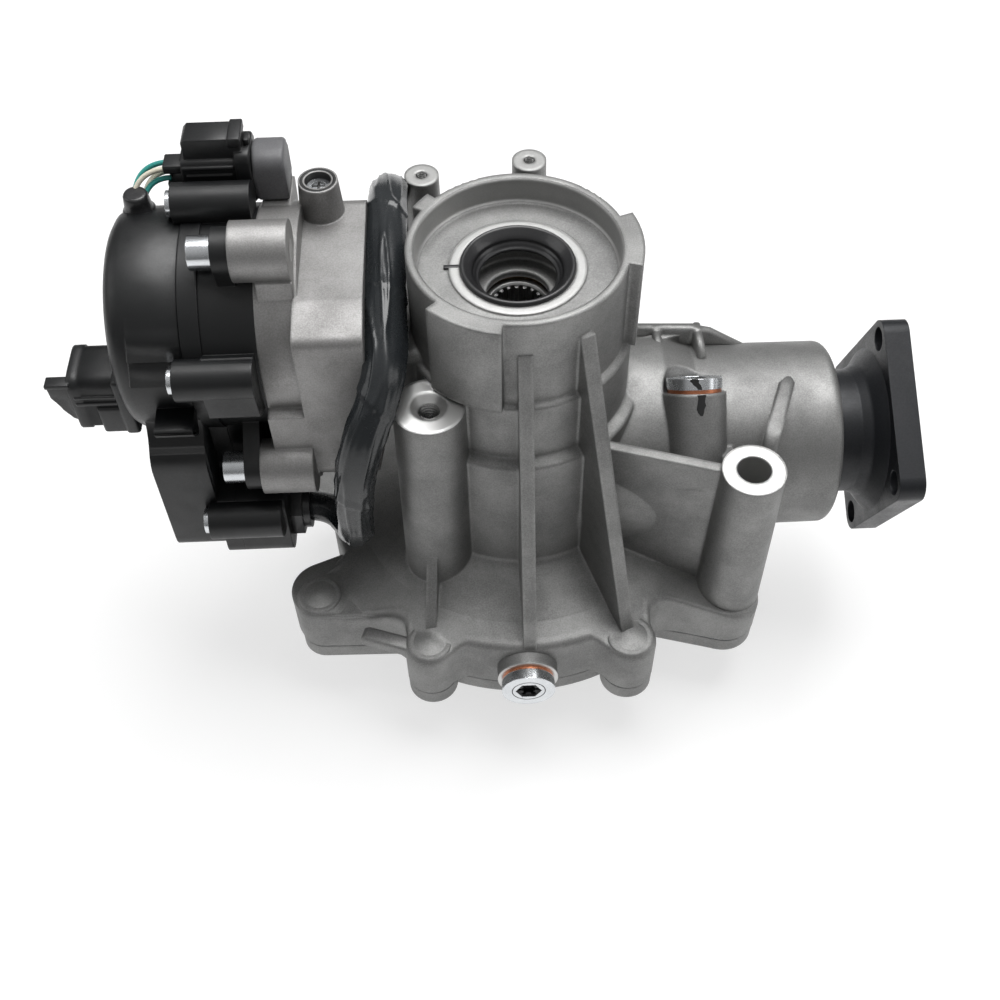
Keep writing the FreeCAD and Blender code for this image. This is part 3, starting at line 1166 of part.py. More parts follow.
write("main_case", main_case())
write("side_cover", side_cover())
write("cover_gasket", less(flange_outline(PARTING - GASKET_T, GASKET_T, -0.2),
                           rod(CAVITY_R, 5, V(0, 0, PARTING - 3)),
                           rod(RING_HOLE_R, 5, RING_BOSS + V(0, 0, PARTING - 3)),
                           *[rod(COVER_BOLT_D / 2 + GAP, 5, V(x, y, PARTING - 3))
                             for x, y, r in FLANGE_BOLTS]))
write("cover_bolts", *[hex_bolt(V(x, y, PARTING - GASKET_T - FLANGE_T), Z, COVER_BOLT_AF,
                                COVER_BOLT_HEAD, COVER_BOLT_D / 2,
                                GASKET_T + FLANGE_T + COVER_BOLT_GRIP - 1)
                       for x, y, r in FLANGE_BOLTS])
write("left_seal", lip_seal(V(0, 0, RIM_HEIGHT - RECESS_DEPTH), Z * -1))
write("right_seal", lip_seal(V(0, 0, RECESS_DEPTH - PINION_HEIGHT), Z))
write("pinion_seal", lip_seal(V(TUBE_END, 0, 0), X * -1, PINION_BORE_R, HUB_R + RUN, 10.0))
write("hub_bush", ring(BUSH_R - SIT, HUB_OUT_R + RUN, 6.6, V(0, 0, CHAMBER_TOP + 0.2)))
write("drain_plug", plug(V(0, DRAIN_FACE_Y, DRAIN_Z), Y))
write("drain_washer", plug_washer(V(0, DRAIN_FACE_Y, DRAIN_Z), Y))
write("fill_plug", plug(FILL_SEAT, fill_axis() * -1))
write("fill_washer", plug_washer(FILL_SEAT, fill_axis() * -1))

left, right = [ball_bearing(CARRIER_BEARING_OD / 2, TRUNNION_R, CARRIER_BEARING_W, z,
                            CARRIER_BALLS, CARRIER_BALL_R)
               for z in (LEFT_BEARING_Z, RIGHT_BEARING_Z)]
rear = roller_bearing(REAR_BEARING_X)
front = roller_bearing(FRONT_BEARING_X)
write("carrier_outer_races", left[0], right[0])
write("carrier_inner_races", left[1], right[1])
write("carrier_balls", *(left[2] + right[2]))
write("pinion_outer_races", rear[0], front[0])
write("pinion_inner_races", rear[1], front[1])
write("pinion_rollers", *(rear[2] + front[2]))
between = FRONT_BEARING_X - REAR_BEARING_X - PINION_BEARING_W
write("pinion_spacer", ring(21.0, PINION_SHAFT_R + SIT, between,
                            V(REAR_BEARING_X + PINION_BEARING_W, 0, 0), X))
write("bearing_circlip", less(ring(PINION_BORE_R + 1.3, PINION_BORE_R - 3, CIRCLIP_T,
                                   V(FRONT_BEARING_X + PINION_BEARING_W, 0, 0), X),
                              Part.makeBox(10, 8, 50, V(112, -4, 0))))

write("ring_gear", ring_gear())
write("carrier_case", carrier_case())
write("carrier_cover", carrier_cover())
write("ring_gear_bolts", *polar(RING_BOLTS, hex_bolt(
    V(RING_BOLT_CIRCLE, 0, RING_BACK_Z - 2 * CARRIER_FLANGE_T), Z, 10.0, 4.8, RING_BOLT_R,
    2 * CARRIER_FLANGE_T + 10.0), first=RING_BOLT_TURN))
side_left = side_gear(HUB_TOP, 56.0)
side_right = side_gear(-HUB_BOTTOM, 56.0)
side_right.rotate(ORIGIN, X, 180)
write("side_gear_left", side_left)
write("side_gear_right", side_right)
write("spider_gear_back", spider_gear(Y))
write("spider_gear_front", spider_gear(Y * -1))
write("cross_pin", rod(CROSS_PIN_R, 2 * CARRIER_R - 2.0, V(0, 1.0 - CARRIER_R, 0), Y))
thrust = CHAMBER_Z - SIDE_BACK_Z - GAP
write("side_washers", *[ring(SIDE_WASHER_R, HUB_OUT_R + GAP, thrust, V(0, 0, z))
                        for z in (SIDE_BACK_Z + GAP, -CHAMBER_Z)])
thrust = SPIDER_SEAT - SPIDER_BACK - GAP
write("spider_washers", *[ring(SPIDER_WASHER_R, CROSS_PIN_R + SIT, thrust, V(0, y, 0), Y)
                          for y in (SPIDER_BACK + GAP, -SPIDER_SEAT)])
write("lock_sleeve", lock_sleeve())
write("lock_collar", lock_collar())
write("pinion_shaft", pinion_shaft())
write("input_flange", input_flange())
write("flange_nut", less(joined(hexagon(NUT_ACROSS, 10.0, V(PLATE_X + 3.2, 0, 0), X),
                                rod(NUT_POCKET_R - 1.0, 2.0, V(PLATE_X + 2.0, 0, 0), X)),
                         rod(STUB_R + SIT, 40, V(STUB_X - 18, 0, 0), X)))

write("shift_rail", shift_rail())
write("shift_fork", shift_fork())
write("output_gear", output_gear())
write("idler_gear", idler_gear())
write("idler_pin", rod(IDLER_PIN_R, 18.5, V(-120.5, IDLER[0], IDLER[1]), X))
write("motor_pinion", motor_pinion())
write("adapter_housing", adapter_housing())
write("port_gasket", less(port_block(ADAPTER_X, ADAPTER_X + PORT_GASKET_T),
                          port_block(ADAPTER_X - 1, ADAPTER_X + 3, PORT_WALL)))
write("vent_screw", joined(rod(VENT_R - 2.8, 3.0, V(VENT_X, VENT_Y, VENT_TOP - 6.0)),
                           rod(2.5, 8.0, V(VENT_X, VENT_Y, VENT_TOP - 14.0))))
write("gear_case", gear_case())
write("mid_ring", mid_ring())
write("motor_cap", motor_cap())
write("motor", motor())
write("case_screws", *[joined(rod(CASE_SCREW_HEAD_R, CASE_SCREW_HEAD_T,
                                  V(CASE_BOSS_END - CASE_SCREW_HEAD_T, y, z), X),
                              rod(CASE_SCREW_R, 20.0, V(CASE_BOSS_END - 0.1, y, z), X))
                       for y, z in CASE_SCREWS])
head_x = LUG_X0 - LUG_SPACER_T
write("actuator_screws", *[less(joined(rod(LUG_HEAD_R, LUG_HEAD_T, V(head_x - LUG_HEAD_T, y, z), X),
                                       rod(LUG_SCREW_R, LUG_SPACER_T + 18.0, V(head_x - 0.1, y, z), X)),
                                hexagon(6.0, 4.5, V(head_x - LUG_HEAD_T, y, z), X))
                           for y, z in ACTUATOR_LUGS])
write("power_socket", power_socket())
write("socket_pins", *socket_pins())
write("sensor_plug", sensor_plug())
write("sensor_socket", sensor_socket())
wires = lead_wires()
write("lead_wires", *wires)
write("wire_boot", wire_boot(wires))
write("taped_loom", bent_rod("taped_loom", LOOM_ROUTE, LOOM_R))
write("loom_glands", *glands())
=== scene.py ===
"""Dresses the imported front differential: finishes, fine pieces, light and camera.

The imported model's frame is in metres. The sizes of the fine pieces, and the places that
go through at(), are in millimetres, unless their text says metres. Those places count from
the point where the axle axis meets the pinion axis, PINION_HEIGHT above the floor.
"""
import logging
import math
from dataclasses import dataclass
from enum import Enum
from typing import Any, ClassVar, Sequence

import bmesh
import bpy
from mathutils import Matrix, Vector, noise


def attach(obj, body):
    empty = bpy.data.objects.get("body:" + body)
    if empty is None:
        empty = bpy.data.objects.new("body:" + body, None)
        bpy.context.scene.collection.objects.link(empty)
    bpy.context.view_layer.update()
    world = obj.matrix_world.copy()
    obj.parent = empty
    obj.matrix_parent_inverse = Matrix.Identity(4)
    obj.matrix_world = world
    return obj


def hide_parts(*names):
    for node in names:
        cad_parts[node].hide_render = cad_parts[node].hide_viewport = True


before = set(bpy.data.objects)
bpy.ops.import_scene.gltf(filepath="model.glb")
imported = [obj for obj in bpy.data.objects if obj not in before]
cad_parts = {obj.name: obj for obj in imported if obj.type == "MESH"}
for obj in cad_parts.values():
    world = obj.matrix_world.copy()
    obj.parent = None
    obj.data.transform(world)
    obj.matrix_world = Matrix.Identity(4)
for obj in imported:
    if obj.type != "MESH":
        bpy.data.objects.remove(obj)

LOG = logging.getLogger("front_differential")
PINION_HEIGHT = 104.0
MM = 0.001
Colour = tuple[float, float, float]
Point = tuple[float, float, float]
Outline = Sequence[tuple[float, ...]]
Mesh = bmesh.types.BMesh
Piece = bpy.types.Object
Socket = bpy.types.NodeSocket
X_AXIS, Y_AXIS, Z_AXIS = Vector((1, 0, 0)), Vector((0, 1, 0)), Vector((0, 0, 1))


def at(x: float, y: float, z: float) -> Vector:
    """Places a point given in millimetres from where the two axes meet.

    Args:
        x: Along the pinion axis.
        y: Towards the back of the part.
        z: Above the pinion axis.

    Returns:
        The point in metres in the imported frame.
    """
    return Vector((x, y, z + PINION_HEIGHT)) * MM


# Node trees
class Graph:
    """Adds nodes to one node tree and joins them."""

    def __init__(self, tree: bpy.types.NodeTree) -> None:
        """Keeps the tree that the nodes go into."""
        self.tree = tree

    def add(self, kind: str, inputs: dict[Any, Any] | None = None, **settings: Any) -> bpy.types.Node:
        """Makes one node.

        Args:
            kind: Blender's name for the node type.
            inputs: Values or sockets for its inputs, by name or number.
            **settings: Attributes to set on the node.

        Returns:
            The new node.
        """
        node = self.tree.nodes.new(kind)
        for name, value in settings.items():
            setattr(node, name, value)
        for name, value in (inputs or {}).items():
            self.feed(node.inputs[name], value)
        return node

    def feed(self, socket: Socket, value: Any) -> None:
        """Links a socket to an input, or sets the input's own value.

        Args:
            socket: Input of a node.
            value: A socket to link, or a plain value.
        """
        if isinstance(value, Socket):
            self.tree.links.new(value, socket)
        else:
            socket.default_value = value

    def math(self, operation: str, *values: Any) -> Socket:
        """Joins numbers or sockets by one arithmetic operation."""
        node = self.add("ShaderNodeMath", dict(enumerate(values)), operation=operation)
        return node.outputs[0]

    def vector(self, operation: str, *values: Any) -> Socket:
        """Joins vectors by one operation and gives the first output that fits it."""
        node = self.add("ShaderNodeVectorMath", dict(enumerate(values)), operation=operation)
        return node.outputs["Value" if operation in ("DOT_PRODUCT", "LENGTH") else "Vector"]

    def noise(self, place: Any, scale: Any, detail: float = 2.0, rough: float = 0.5) -> Socket:
        """Adds a noise texture and gives its value."""
        settings = {"Vector": place, "Scale": scale, "Detail": detail, "Roughness": rough}
        return self.add("ShaderNodeTexNoise", settings).outputs[0]

    def span(self, value: Any, low: float, high: float, to_low: float = 0.0,
             to_high: float = 1.0) -> Socket:
        """Maps a value from one range to another, held inside the second."""
        names = {"Value": value, "From Min": low, "From Max": high, "To Min": to_low, "To Max": to_high}
        return self.add("ShaderNodeMapRange", names).outputs[0]

    def blend(self, factor: Any, first: Any, second: Any) -> Socket:
        """Mixes two colours by a factor and gives the colour.

        Args:
            factor: Share of the second colour.
            first: First colour.
            second: Second colour.

        Returns:
            The mixed colour's socket.
        """
        node = self.add("ShaderNodeMix", data_type="RGBA")
        for name, value in (("Factor_Float", factor), ("A_Color", first), ("B_Color", second)):
            socket = next(s for s in node.inputs if s.identifier == name)
            self.feed(socket, value)
        return next(s for s in node.outputs if s.identifier == "Result_Color")

    def mix(self, factor: Any, first: Any, second: Any) -> Socket:
        """Mixes two numbers by a factor and gives the number."""
        node = self.add("ShaderNodeMix", {0: factor, 2: first, 3: second}, data_type="FLOAT")
        return node.outputs[0]

    def here(self) -> Socket:
        """Gives the place of the shaded point in the object's own frame."""
        return self.add("ShaderNodeTexCoord").outputs["Object"]


def rgba(colour: Colour) -> tuple[float, float, float, float]:
    """Gives a colour with full opacity."""
    return (*colour, 1.0)


# Effects that several finishes share
def new_group(name: str, inputs: Sequence[tuple[str, str, Any]],
              outputs: Sequence[tuple[str, str]]) -> tuple[bpy.types.NodeTree, Graph, Any, Any]:
    """Starts a shader node group with named sockets.

    Args:
        name: Name of the effect.
        inputs: Name, kind and first value of each input.
        outputs: Name and kind of each output.

    Returns:
        The tree, its graph, and the group's input and output nodes.
    """
    tree = bpy.data.node_groups.new(name, "ShaderNodeTree")
    for label, kind, value in inputs:
        socket = tree.interface.new_socket(label, in_out="INPUT", socket_type="NodeSocket" + kind)
        socket.default_value = value
    for label, kind in outputs:
        tree.interface.new_socket(label, in_out="OUTPUT", socket_type="NodeSocket" + kind)
    graph = Graph(tree)
    return tree, graph, graph.add("NodeGroupInput"), graph.add("NodeGroupOutput")


def grain_effect() -> bpy.types.NodeTree:
    """Skin of a blasted casting or a textured moulding: a height and a slow change of tone.

    Returns:
        The node group.
    """
    tree, g, start, end = new_group(
        "skin_grain", [("Scale", "Float", 1500.0), ("Blotch", "Float", 60.0)],
        [("Height", "Float"), ("Tone", "Float")])
    place = g.here()
    fine = g.noise(place, start.outputs["Scale"], 3.0, 0.6)
    coarse = g.noise(place, g.math("MULTIPLY", start.outputs["Scale"], 0.28), 2.0, 0.5)
    slow = g.noise(place, start.outputs["Blotch"], 4.0, 0.6)
    height = g.math("ADD", g.math("MULTIPLY", fine, 0.6), g.math("MULTIPLY", coarse, 0.4))
    g.feed(end.inputs["Height"], height)
    speck = g.span(fine, 0.35, 0.65, -0.35, 0.35)
    g.feed(end.inputs["Tone"], g.math("ADD", g.span(slow, 0.3, 0.7), speck))
    return tree


def edge_effect() -> bpy.types.NodeTree:
    """Outer edges of a piece, lighter in colour: partly rubbed wear, partly a painted highlight where the
    edges catch the light.

    Returns:
        The node group.
    """
    tree, g, start, end = new_group("edge_wear_and_highlight", [("Width", "Float", 0.001), ("Break", "Float", 300.0)],
                                    [("Mask", "Float"), ("Normal", "Vector")])
    bevel = g.add("ShaderNodeBevel", {"Radius": start.outputs["Width"]}, samples=6)
    true = g.add("ShaderNodeNewGeometry").outputs["Normal"]
    turn = g.math("SUBTRACT", 1.0, g.vector("DOT_PRODUCT", bevel.outputs[0], true))
    patchy = g.span(g.noise(g.here(), start.outputs["Break"], 3.0, 0.6), 0.3, 0.6, 0.35, 1.0)
    # The mask lightens the edges: rubbed wear and a painted highlight.
    g.feed(end.inputs["Mask"], g.math("MULTIPLY", g.span(turn, 0.012, 0.16), patchy))
    g.feed(end.inputs["Normal"], bevel.outputs[0])
    return tree


def patch_effect() -> bpy.types.NodeTree:
    """A round machined face or bore on a casting, with its turning marks.

    Returns:
        The node group.
    """
    tree, g, start, end = new_group(
        "machined_face",
        [("Centre", "Vector", (0, 0, 0)), ("Axis", "Vector", (0, 0, 1)), ("Radius", "Float", 0.01),
         ("Depth", "Float", 0.0005)], [("Mask", "Float"), ("Rings", "Float")])
    offset = g.vector("SUBTRACT", g.here(), start.outputs["Centre"])
    height = g.vector("DOT_PRODUCT", offset, start.outputs["Axis"])
    sideways = g.vector("CROSS_PRODUCT", offset, start.outputs["Axis"])
    radius = g.vector("LENGTH", sideways)
    level = g.math("LESS_THAN", g.math("ABSOLUTE", height), start.outputs["Depth"])
    inside = g.math("LESS_THAN", radius, start.outputs["Radius"])
    mask = g.math("MULTIPLY", level, inside)
    turns = g.noise(g.add("ShaderNodeCombineXYZ", {"X": radius, "Y": height}).outputs[0], 3200.0, 2.0, 0.7)
    g.feed(end.inputs["Mask"], mask)
    g.feed(end.inputs["Rings"], g.math("MULTIPLY", turns, mask))
    return tree


@dataclass(frozen=True)
class Effects:
    """The shared effects, built once."""

    grain: bpy.types.NodeTree
    edges: bpy.types.NodeTree
    patch: bpy.types.NodeTree

    @classmethod
    def build(cls) -> "Effects":
        """Builds every shared effect."""
        return cls(grain_effect(), edge_effect(), patch_effect())


def use(graph: Graph, tree: bpy.types.NodeTree, **values: Any) -> Socket:
    """Places a shared effect in a material.

    Args:
        graph: The material's graph.
        tree: The effect.
        **values: Its inputs, with the underscores of their names as spaces.

    Returns:
        The outputs of the placed effect.
    """
    node = graph.add("ShaderNodeGroup", node_tree=tree)
    for name, value in values.items():
        graph.feed(node.inputs[name.replace("_", " ")], value)
    return node.outputs


# Finishes
def new_material(name: str) -> tuple[bpy.types.Material, Graph, bpy.types.Node]:
    """Starts a material with one Principled shader.

    Args:
        name: Name of the finish.

    Returns:
        The material, its graph and its shader node.
    """
    material = bpy.data.materials.new(name)
    material.use_nodes = True
    material.node_tree.nodes.clear()
    graph = Graph(material.node_tree)
    shader = graph.add("ShaderNodeBsdfPrincipled")
    graph.add("ShaderNodeOutputMaterial", {"Surface": shader.outputs[0]})
    return material, graph, shader


@dataclass(frozen=True)
class Patch:
    """One round machined face or bore on a casting."""

    centre: Point
    radius: float
    depth: float
    axis: Point = (0, 0, 1)
    share: float = 1.0


@dataclass(frozen=True)
class SurfaceFinish:
    """A finish with grain, slow changes of tone, and edges lightened by rubbed wear and a painted highlight.
    """

    name: str
    dark: Colour
    light: Colour
    # Colour of the lightened edges: rubbed wear and a painted highlight.
    edge: Colour
    metallic: float = 0.0
    rough: tuple[float, float] = (0.35, 0.5)
    grain: float = 1800.0
    blotch: float = 70.0
    bump: float = 0.2
    distance: float = 0.0001
    edge_width: float = 0.0006
    edge_share: float = 0.4
    edge_break: float = 500.0
    coat: float = 0.0

    def build(self, effects: Effects) -> bpy.types.Material:
        """Builds the material.

        Args:
            effects: The shared effects.

        Returns:
            The finished material.
        """
        material, g, shader = new_material(self.name)
        grain = use(g, effects.grain, Scale=self.grain, Blotch=self.blotch)
        edges = use(g, effects.edges, Width=self.edge_width, Break=self.edge_break)
        colour = g.blend(g.span(grain["Tone"], -0.2, 1.2), rgba(self.dark), rgba(self.light))
        # Edge colour laid on by the edge mask: rubbed wear and a painted highlight.
        colour = g.blend(g.math("MULTIPLY", edges["Mask"], self.edge_share), colour, rgba(self.edge))
        smoothest, roughest = self.rough
        rough = g.span(grain["Tone"], 0.0, 1.0, roughest, smoothest)
        colour, rough, height = self.machined(g, effects, colour, rough, grain["Height"])
        bump = g.add("ShaderNodeBump", {"Strength": self.bump, "Distance": self.distance,
                                        "Height": height, "Normal": edges["Normal"]})
        joined = {"Base Color": colour, "Roughness": rough, "Normal": bump.outputs[0],
                  "Metallic": self.metallic, "Coat Weight": self.coat}
        for name, value in joined.items():
            g.feed(shader.inputs[name], value)
        return material

    def machined(self, g: Graph, effects: Effects, *skin: Any) -> Sequence[Any]:
        """Gives the skin's colour, roughness and height as they are: nothing is machined."""
        return skin


@dataclass(frozen=True)
class CastFinish(SurfaceFinish):
    """Blasted cast aluminium with bright machined faces, and edges lightened by rubbed wear and a painted
    highlight.
    """

    dark: Colour = (0.19, 0.19, 0.188)
    light: Colour = (0.30, 0.30, 0.294)
    edge: Colour = (0.66, 0.66, 0.65)
    metallic: float = 0.9
    rough: tuple[float, float] = (0.50, 0.62)
    grain: float = 1700.0
    blotch: float = 45.0
    bump: float = 0.32
    distance: float = 0.00022
    edge_width: float = 0.0021
    edge_share: float = 0.22
    edge_break: float = 400.0
    face_rough: float = 0.36
    ring_height: float = 0.35
    patches: tuple[Patch, ...] = ()

    def machined(self, g: Graph, effects: Effects, *skin: Any) -> Sequence[Any]:
        """Puts the machined faces on the skin.

        Args:
            g: The material's graph.
            effects: The shared effects.
            *skin: Colour, roughness and height of the casting's skin.

        Returns:
            Colour, roughness and height with the machined faces.
        """
        colour, rough, height = skin
        mask, rings = 0.0, 0.0
        for patch in self.patches:
            found = use(g, effects.patch, Centre=tuple(at(*patch.centre)), Axis=patch.axis,
                        Radius=patch.radius * MM, Depth=patch.depth * MM)
            mask = g.math("MAXIMUM", mask, g.math("MULTIPLY", found["Mask"], patch.share))
            rings = g.math("MAXIMUM", rings, found["Rings"])
        return (g.blend(mask, colour, rgba(self.edge)), g.mix(mask, rough, self.face_rough),
                g.mix(mask, height, g.math("MULTIPLY", rings, self.ring_height)))


MACHINED = (
    Patch((0, 0, 110.0), 39.9, 5.3, share=0.40),
    Patch((0, 0, 104.8), 27.0, 0.15, share=0.30),
    Patch((-36.4, -41.0, 72.0), 15.5, 0.3),
    Patch((-36.4, -41.0, 60.0), 7.6, 14.0),
    Patch((92.2, -53.4, 40.8), 13.6, 0.3),
    Patch((92.2, -53.4, 0.0), 7.2, 60.0),
    Patch((-38.0, 80.0, 87.0), 8.0, 0.3, share=0.3),
    Patch((9.0, 84.0, 90.0), 8.0, 0.3, share=0.3),
    Patch((136.8, 0, 0), 37.5, 3.0, (1, 0, 0)),
    Patch((0, -93.0, -50.0), 13.4, 0.3, (0, 1, 0)),
    Patch((0, 0, -62.0), 130.0, 0.2),
)


class Finish(Enum):
    """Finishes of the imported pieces."""

    CAST = CastFinish("cast_aluminium", patches=MACHINED)
    COVER = CastFinish(
        "cast_cover", patches=(Patch((0, 0, -104.0), 43.5, 0.3), Patch((0, 0, -98.0), 39.9, 5.0)))
    ADAPTER = CastFinish(
        "cast_adapter", dark=(0.23, 0.226, 0.222), light=(0.34, 0.336, 0.332), edge_width=0.0012)
    # The black finishes below have edge colours lighter than their body: a painted highlight on the edges,
    # with some rubbed wear.
    SHELL = SurfaceFinish(
        "black_shell", (0.002, 0.0025, 0.003), (0.005, 0.0055, 0.006), (0.025, 0.026, 0.028),
        rough=(0.34, 0.5), bump=0.25, edge_share=0.35)
    CONNECTOR = SurfaceFinish(
        "connector_plastic", (0.005, 0.0055, 0.006), (0.010, 0.0105, 0.0115), (0.05, 0.05, 0.053),
        rough=(0.36, 0.5), edge_share=0.3)
    # Dark phosphated steel of the input flange, also used as painted shade inside the drain plug's socket.
    PHOSPHATE_AND_SHADE = SurfaceFinish(
        "phosphated_steel_and_shade", (0.007, 0.008, 0.010), (0.016, 0.017, 0.020), (0.07, 0.07, 0.075), metallic=0.3,
        rough=(0.36, 0.52), grain=1300.0, bump=0.3, edge_width=0.0008)
    ZINC = SurfaceFinish(
        "zinc_plate", (0.60, 0.62, 0.64), (0.76, 0.78, 0.80), (0.92, 0.93, 0.95), metallic=1.0,
        rough=(0.18, 0.30), grain=2200.0, bump=0.12, distance=0.00005, edge_width=0.0004)
    GEAR = SurfaceFinish(
        "gear_steel", (0.30, 0.30, 0.30), (0.42, 0.42, 0.41), (0.65, 0.65, 0.65), metallic=1.0,
        rough=(0.28, 0.40), edge_width=0.0004)
    BEARING = SurfaceFinish(
        "bearing_steel", (0.55, 0.55, 0.55), (0.66, 0.66, 0.66), (0.85, 0.85, 0.85), metallic=1.0,
        rough=(0.14, 0.24), bump=0.08, edge_width=0.0003)
    COPPER = SurfaceFinish(
        "copper_washer", (0.48, 0.17, 0.09), (0.66, 0.27, 0.15), (0.85, 0.45, 0.28), metallic=1.0,
        rough=(0.26, 0.40), edge_width=0.0003)
    GREY_PLASTIC = SurfaceFinish(
        "grey_plastic", (0.085, 0.085, 0.09), (0.125, 0.125, 0.13), (0.24, 0.24, 0.24), rough=(0.45, 0.6))
    THREAD = SurfaceFinish(
        "thread_metal", (0.30, 0.30, 0.30), (0.46, 0.46, 0.45), (0.85, 0.85, 0.85), metallic=1.0,
        rough=(0.2, 0.34), edge_width=0.0002)
    BRONZE = SurfaceFinish(
        "bronze_bush", (0.42, 0.27, 0.11), (0.58, 0.40, 0.18), (0.80, 0.60, 0.32), metallic=1.0,
        rough=(0.26, 0.38))
    RUBBER = SurfaceFinish(
        "seal_rubber", (0.010, 0.010, 0.011), (0.018, 0.018, 0.019), (0.05, 0.05, 0.055),
        rough=(0.28, 0.42), grain=900.0, coat=0.25)
    GASKET = SurfaceFinish(
        "gasket_fibre", (0.05, 0.07, 0.09), (0.09, 0.12, 0.14), (0.14, 0.17, 0.19), rough=(0.7, 0.85),
        grain=2500.0, bump=0.4)
    CAN = SurfaceFinish(
        "motor_can", (0.40, 0.40, 0.41), (0.52, 0.52, 0.53), (0.7, 0.7, 0.7), metallic=1.0,
        rough=(0.25, 0.36))
    TAPE = SurfaceFinish(
        "loom_tape", (0.010, 0.012, 0.014), (0.018, 0.021, 0.023), (0.04, 0.043, 0.046), rough=(0.20, 0.32),
        grain=500.0, blotch=60.0, bump=0.12, edge_share=0.0, coat=0.1)
    WIRE_TEAL = SurfaceFinish(
        "wire_teal", (0.02, 0.22, 0.20), (0.04, 0.34, 0.30), (0.1, 0.5, 0.45), rough=(0.3, 0.42))
    WIRE_CREAM = SurfaceFinish(
        "wire_cream", (0.58, 0.55, 0.44), (0.74, 0.70, 0.58), (0.85, 0.82, 0.72), rough=(0.3, 0.42))
    # Near-black paint for the fill plug's strokes, also used as painted shade in the vent's bore and cross
    # recess.
    PAINT = SurfaceFinish(
        "witness_paint_and_shade", (0.006, 0.006, 0.006), (0.012, 0.012, 0.012), (0.02, 0.02, 0.02),
        rough=(0.35, 0.6), grain=700.0, bump=0.4)


DRESS: dict[Finish, tuple[str, ...]] = {
    Finish.CAST: ("main_case",),
    Finish.COVER: ("side_cover",),
    Finish.ADAPTER: ("adapter_housing",),
    Finish.SHELL: ("gear_case", "mid_ring", "motor_cap"),
    Finish.CONNECTOR: ("power_socket", "sensor_plug", "sensor_socket", "wire_boot"),
    Finish.PHOSPHATE_AND_SHADE: ("input_flange",),
    Finish.ZINC: (
        "cover_bolts", "case_screws", "actuator_screws", "vent_screw", "drain_plug", "fill_plug",
        "flange_nut", "bearing_circlip"),
    Finish.GEAR: (
        "ring_gear", "carrier_case", "carrier_cover", "ring_gear_bolts", "pinion_shaft", "side_gear_left",
        "side_gear_right", "spider_gear_back", "spider_gear_front", "lock_sleeve", "lock_collar",
        "shift_rail", "shift_fork", "output_gear", "idler_gear", "motor_pinion", "pinion_spacer"),
    Finish.BEARING: (
        "carrier_outer_races", "carrier_inner_races", "carrier_balls", "pinion_outer_races",
        "pinion_inner_races", "pinion_rollers", "cross_pin", "idler_pin"),
    Finish.COPPER: ("drain_washer", "fill_washer", "socket_pins"),
    Finish.BRONZE: ("hub_bush", "side_washers", "spider_washers"),
    Finish.RUBBER: ("left_seal", "right_seal", "pinion_seal", "loom_glands"),
    Finish.GASKET: ("cover_gasket", "port_gasket"),
    Finish.CAN: ("motor",),
}


def stand(name: str, data: bpy.types.ID) -> Piece:
    """Makes an object from its data and puts it in the scene.

    Args:
        name: Name of the object.
        data: Its mesh, curve, lamp or camera.

    Returns:
        The new object.
    """
    obj = bpy.data.objects.new(name, data)
    bpy.context.scene.collection.objects.link(obj)
    return obj


class Workshop:
    """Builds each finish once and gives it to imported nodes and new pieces."""

    def __init__(self, effects: Effects) -> None:
        """Keeps the shared effects and no finish yet."""
        self.effects = effects
        self.made: dict[Finish, bpy.types.Material] = {}

    def finish(self, which: Finish) -> bpy.types.Material:
        """Gives the material of a finish, building it the first time.

        Args:
            which: The finish.

        Returns:
            Its material.
        """
        if which not in self.made:
            self.made[which] = which.value.build(self.effects)
        return self.made[which]

    def dress(self, obj: Piece, which: Finish) -> None:
        """Puts one finish on every slot of an object.

        Args:
            obj: The object.
            which: Its finish.
        """
        if not obj.data.materials:
            obj.data.materials.append(self.finish(which))
        for place in obj.material_slots:
            place.material = self.finish(which)

    def piece(self, name: str, mesh: Mesh, which: Finish, body: str = "housing",
              smooth: bool = True) -> Piece:
        """Turns built geometry into a piece that rides on a body.

        Args:
            name: Name of the piece.
            mesh: Its geometry, which is freed.
            which: Its finish.
            body: The body that carries it.
            smooth: Whether its faces are shaded smooth.

        Returns:
            The new object.
        """
        bmesh.ops.recalc_face_normals(mesh, faces=mesh.faces)
        data = bpy.data.meshes.new(name)
        for face in mesh.faces:
            face.smooth = smooth
        mesh.to_mesh(data)
        mesh.free()
        obj = stand(name, data)
        self.dress(obj, which)
        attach(obj, body)
        LOG.info("built %s with %d faces", name, len(data.polygons))
        return obj


# Forms that the fine pieces are made of
TIP_R = 0.001        # radius in millimetres that closes a turned form, so that no face is folded
THREAD_ROWS = 8      # rows of places in each turn of a thread


def placed(base: Point, axis: Vector = Z_AXIS) -> Matrix:
    """Gives the frame of a form from its foot and its axis."""
    return Matrix.Translation(at(*base)) @ axis.to_track_quat("Z", "Y").to_matrix().to_4x4()


def add_rows(mesh: Mesh, rows: Sequence[Sequence[Vector]],
             closed: bool = True) -> list[list[bmesh.types.BMVert]]:
    """Joins rows of places into a sheet.

    Args:
        mesh: Takes the sheet.
        rows: Places in metres, the same number in each row.
        closed: Whether each row's last place joins its first.

    Returns:
        The rows of corners.
    """
    verts = [[mesh.verts.new(place) for place in row] for row in rows]
    for low, high in zip(verts, verts[1:]):
        count = len(low)
        for k in range(count if closed else count - 1):
            n = (k + 1) % count
            mesh.faces.new((low[k], low[n], high[n], high[k]))
    return verts


def ring_spot(foot: Matrix, radius: float, angle: float, height: float) -> Vector:
    """Gives a place round a turned form's axis."""
    return foot @ Vector((radius * math.cos(angle) * MM, radius * math.sin(angle) * MM, height * MM))


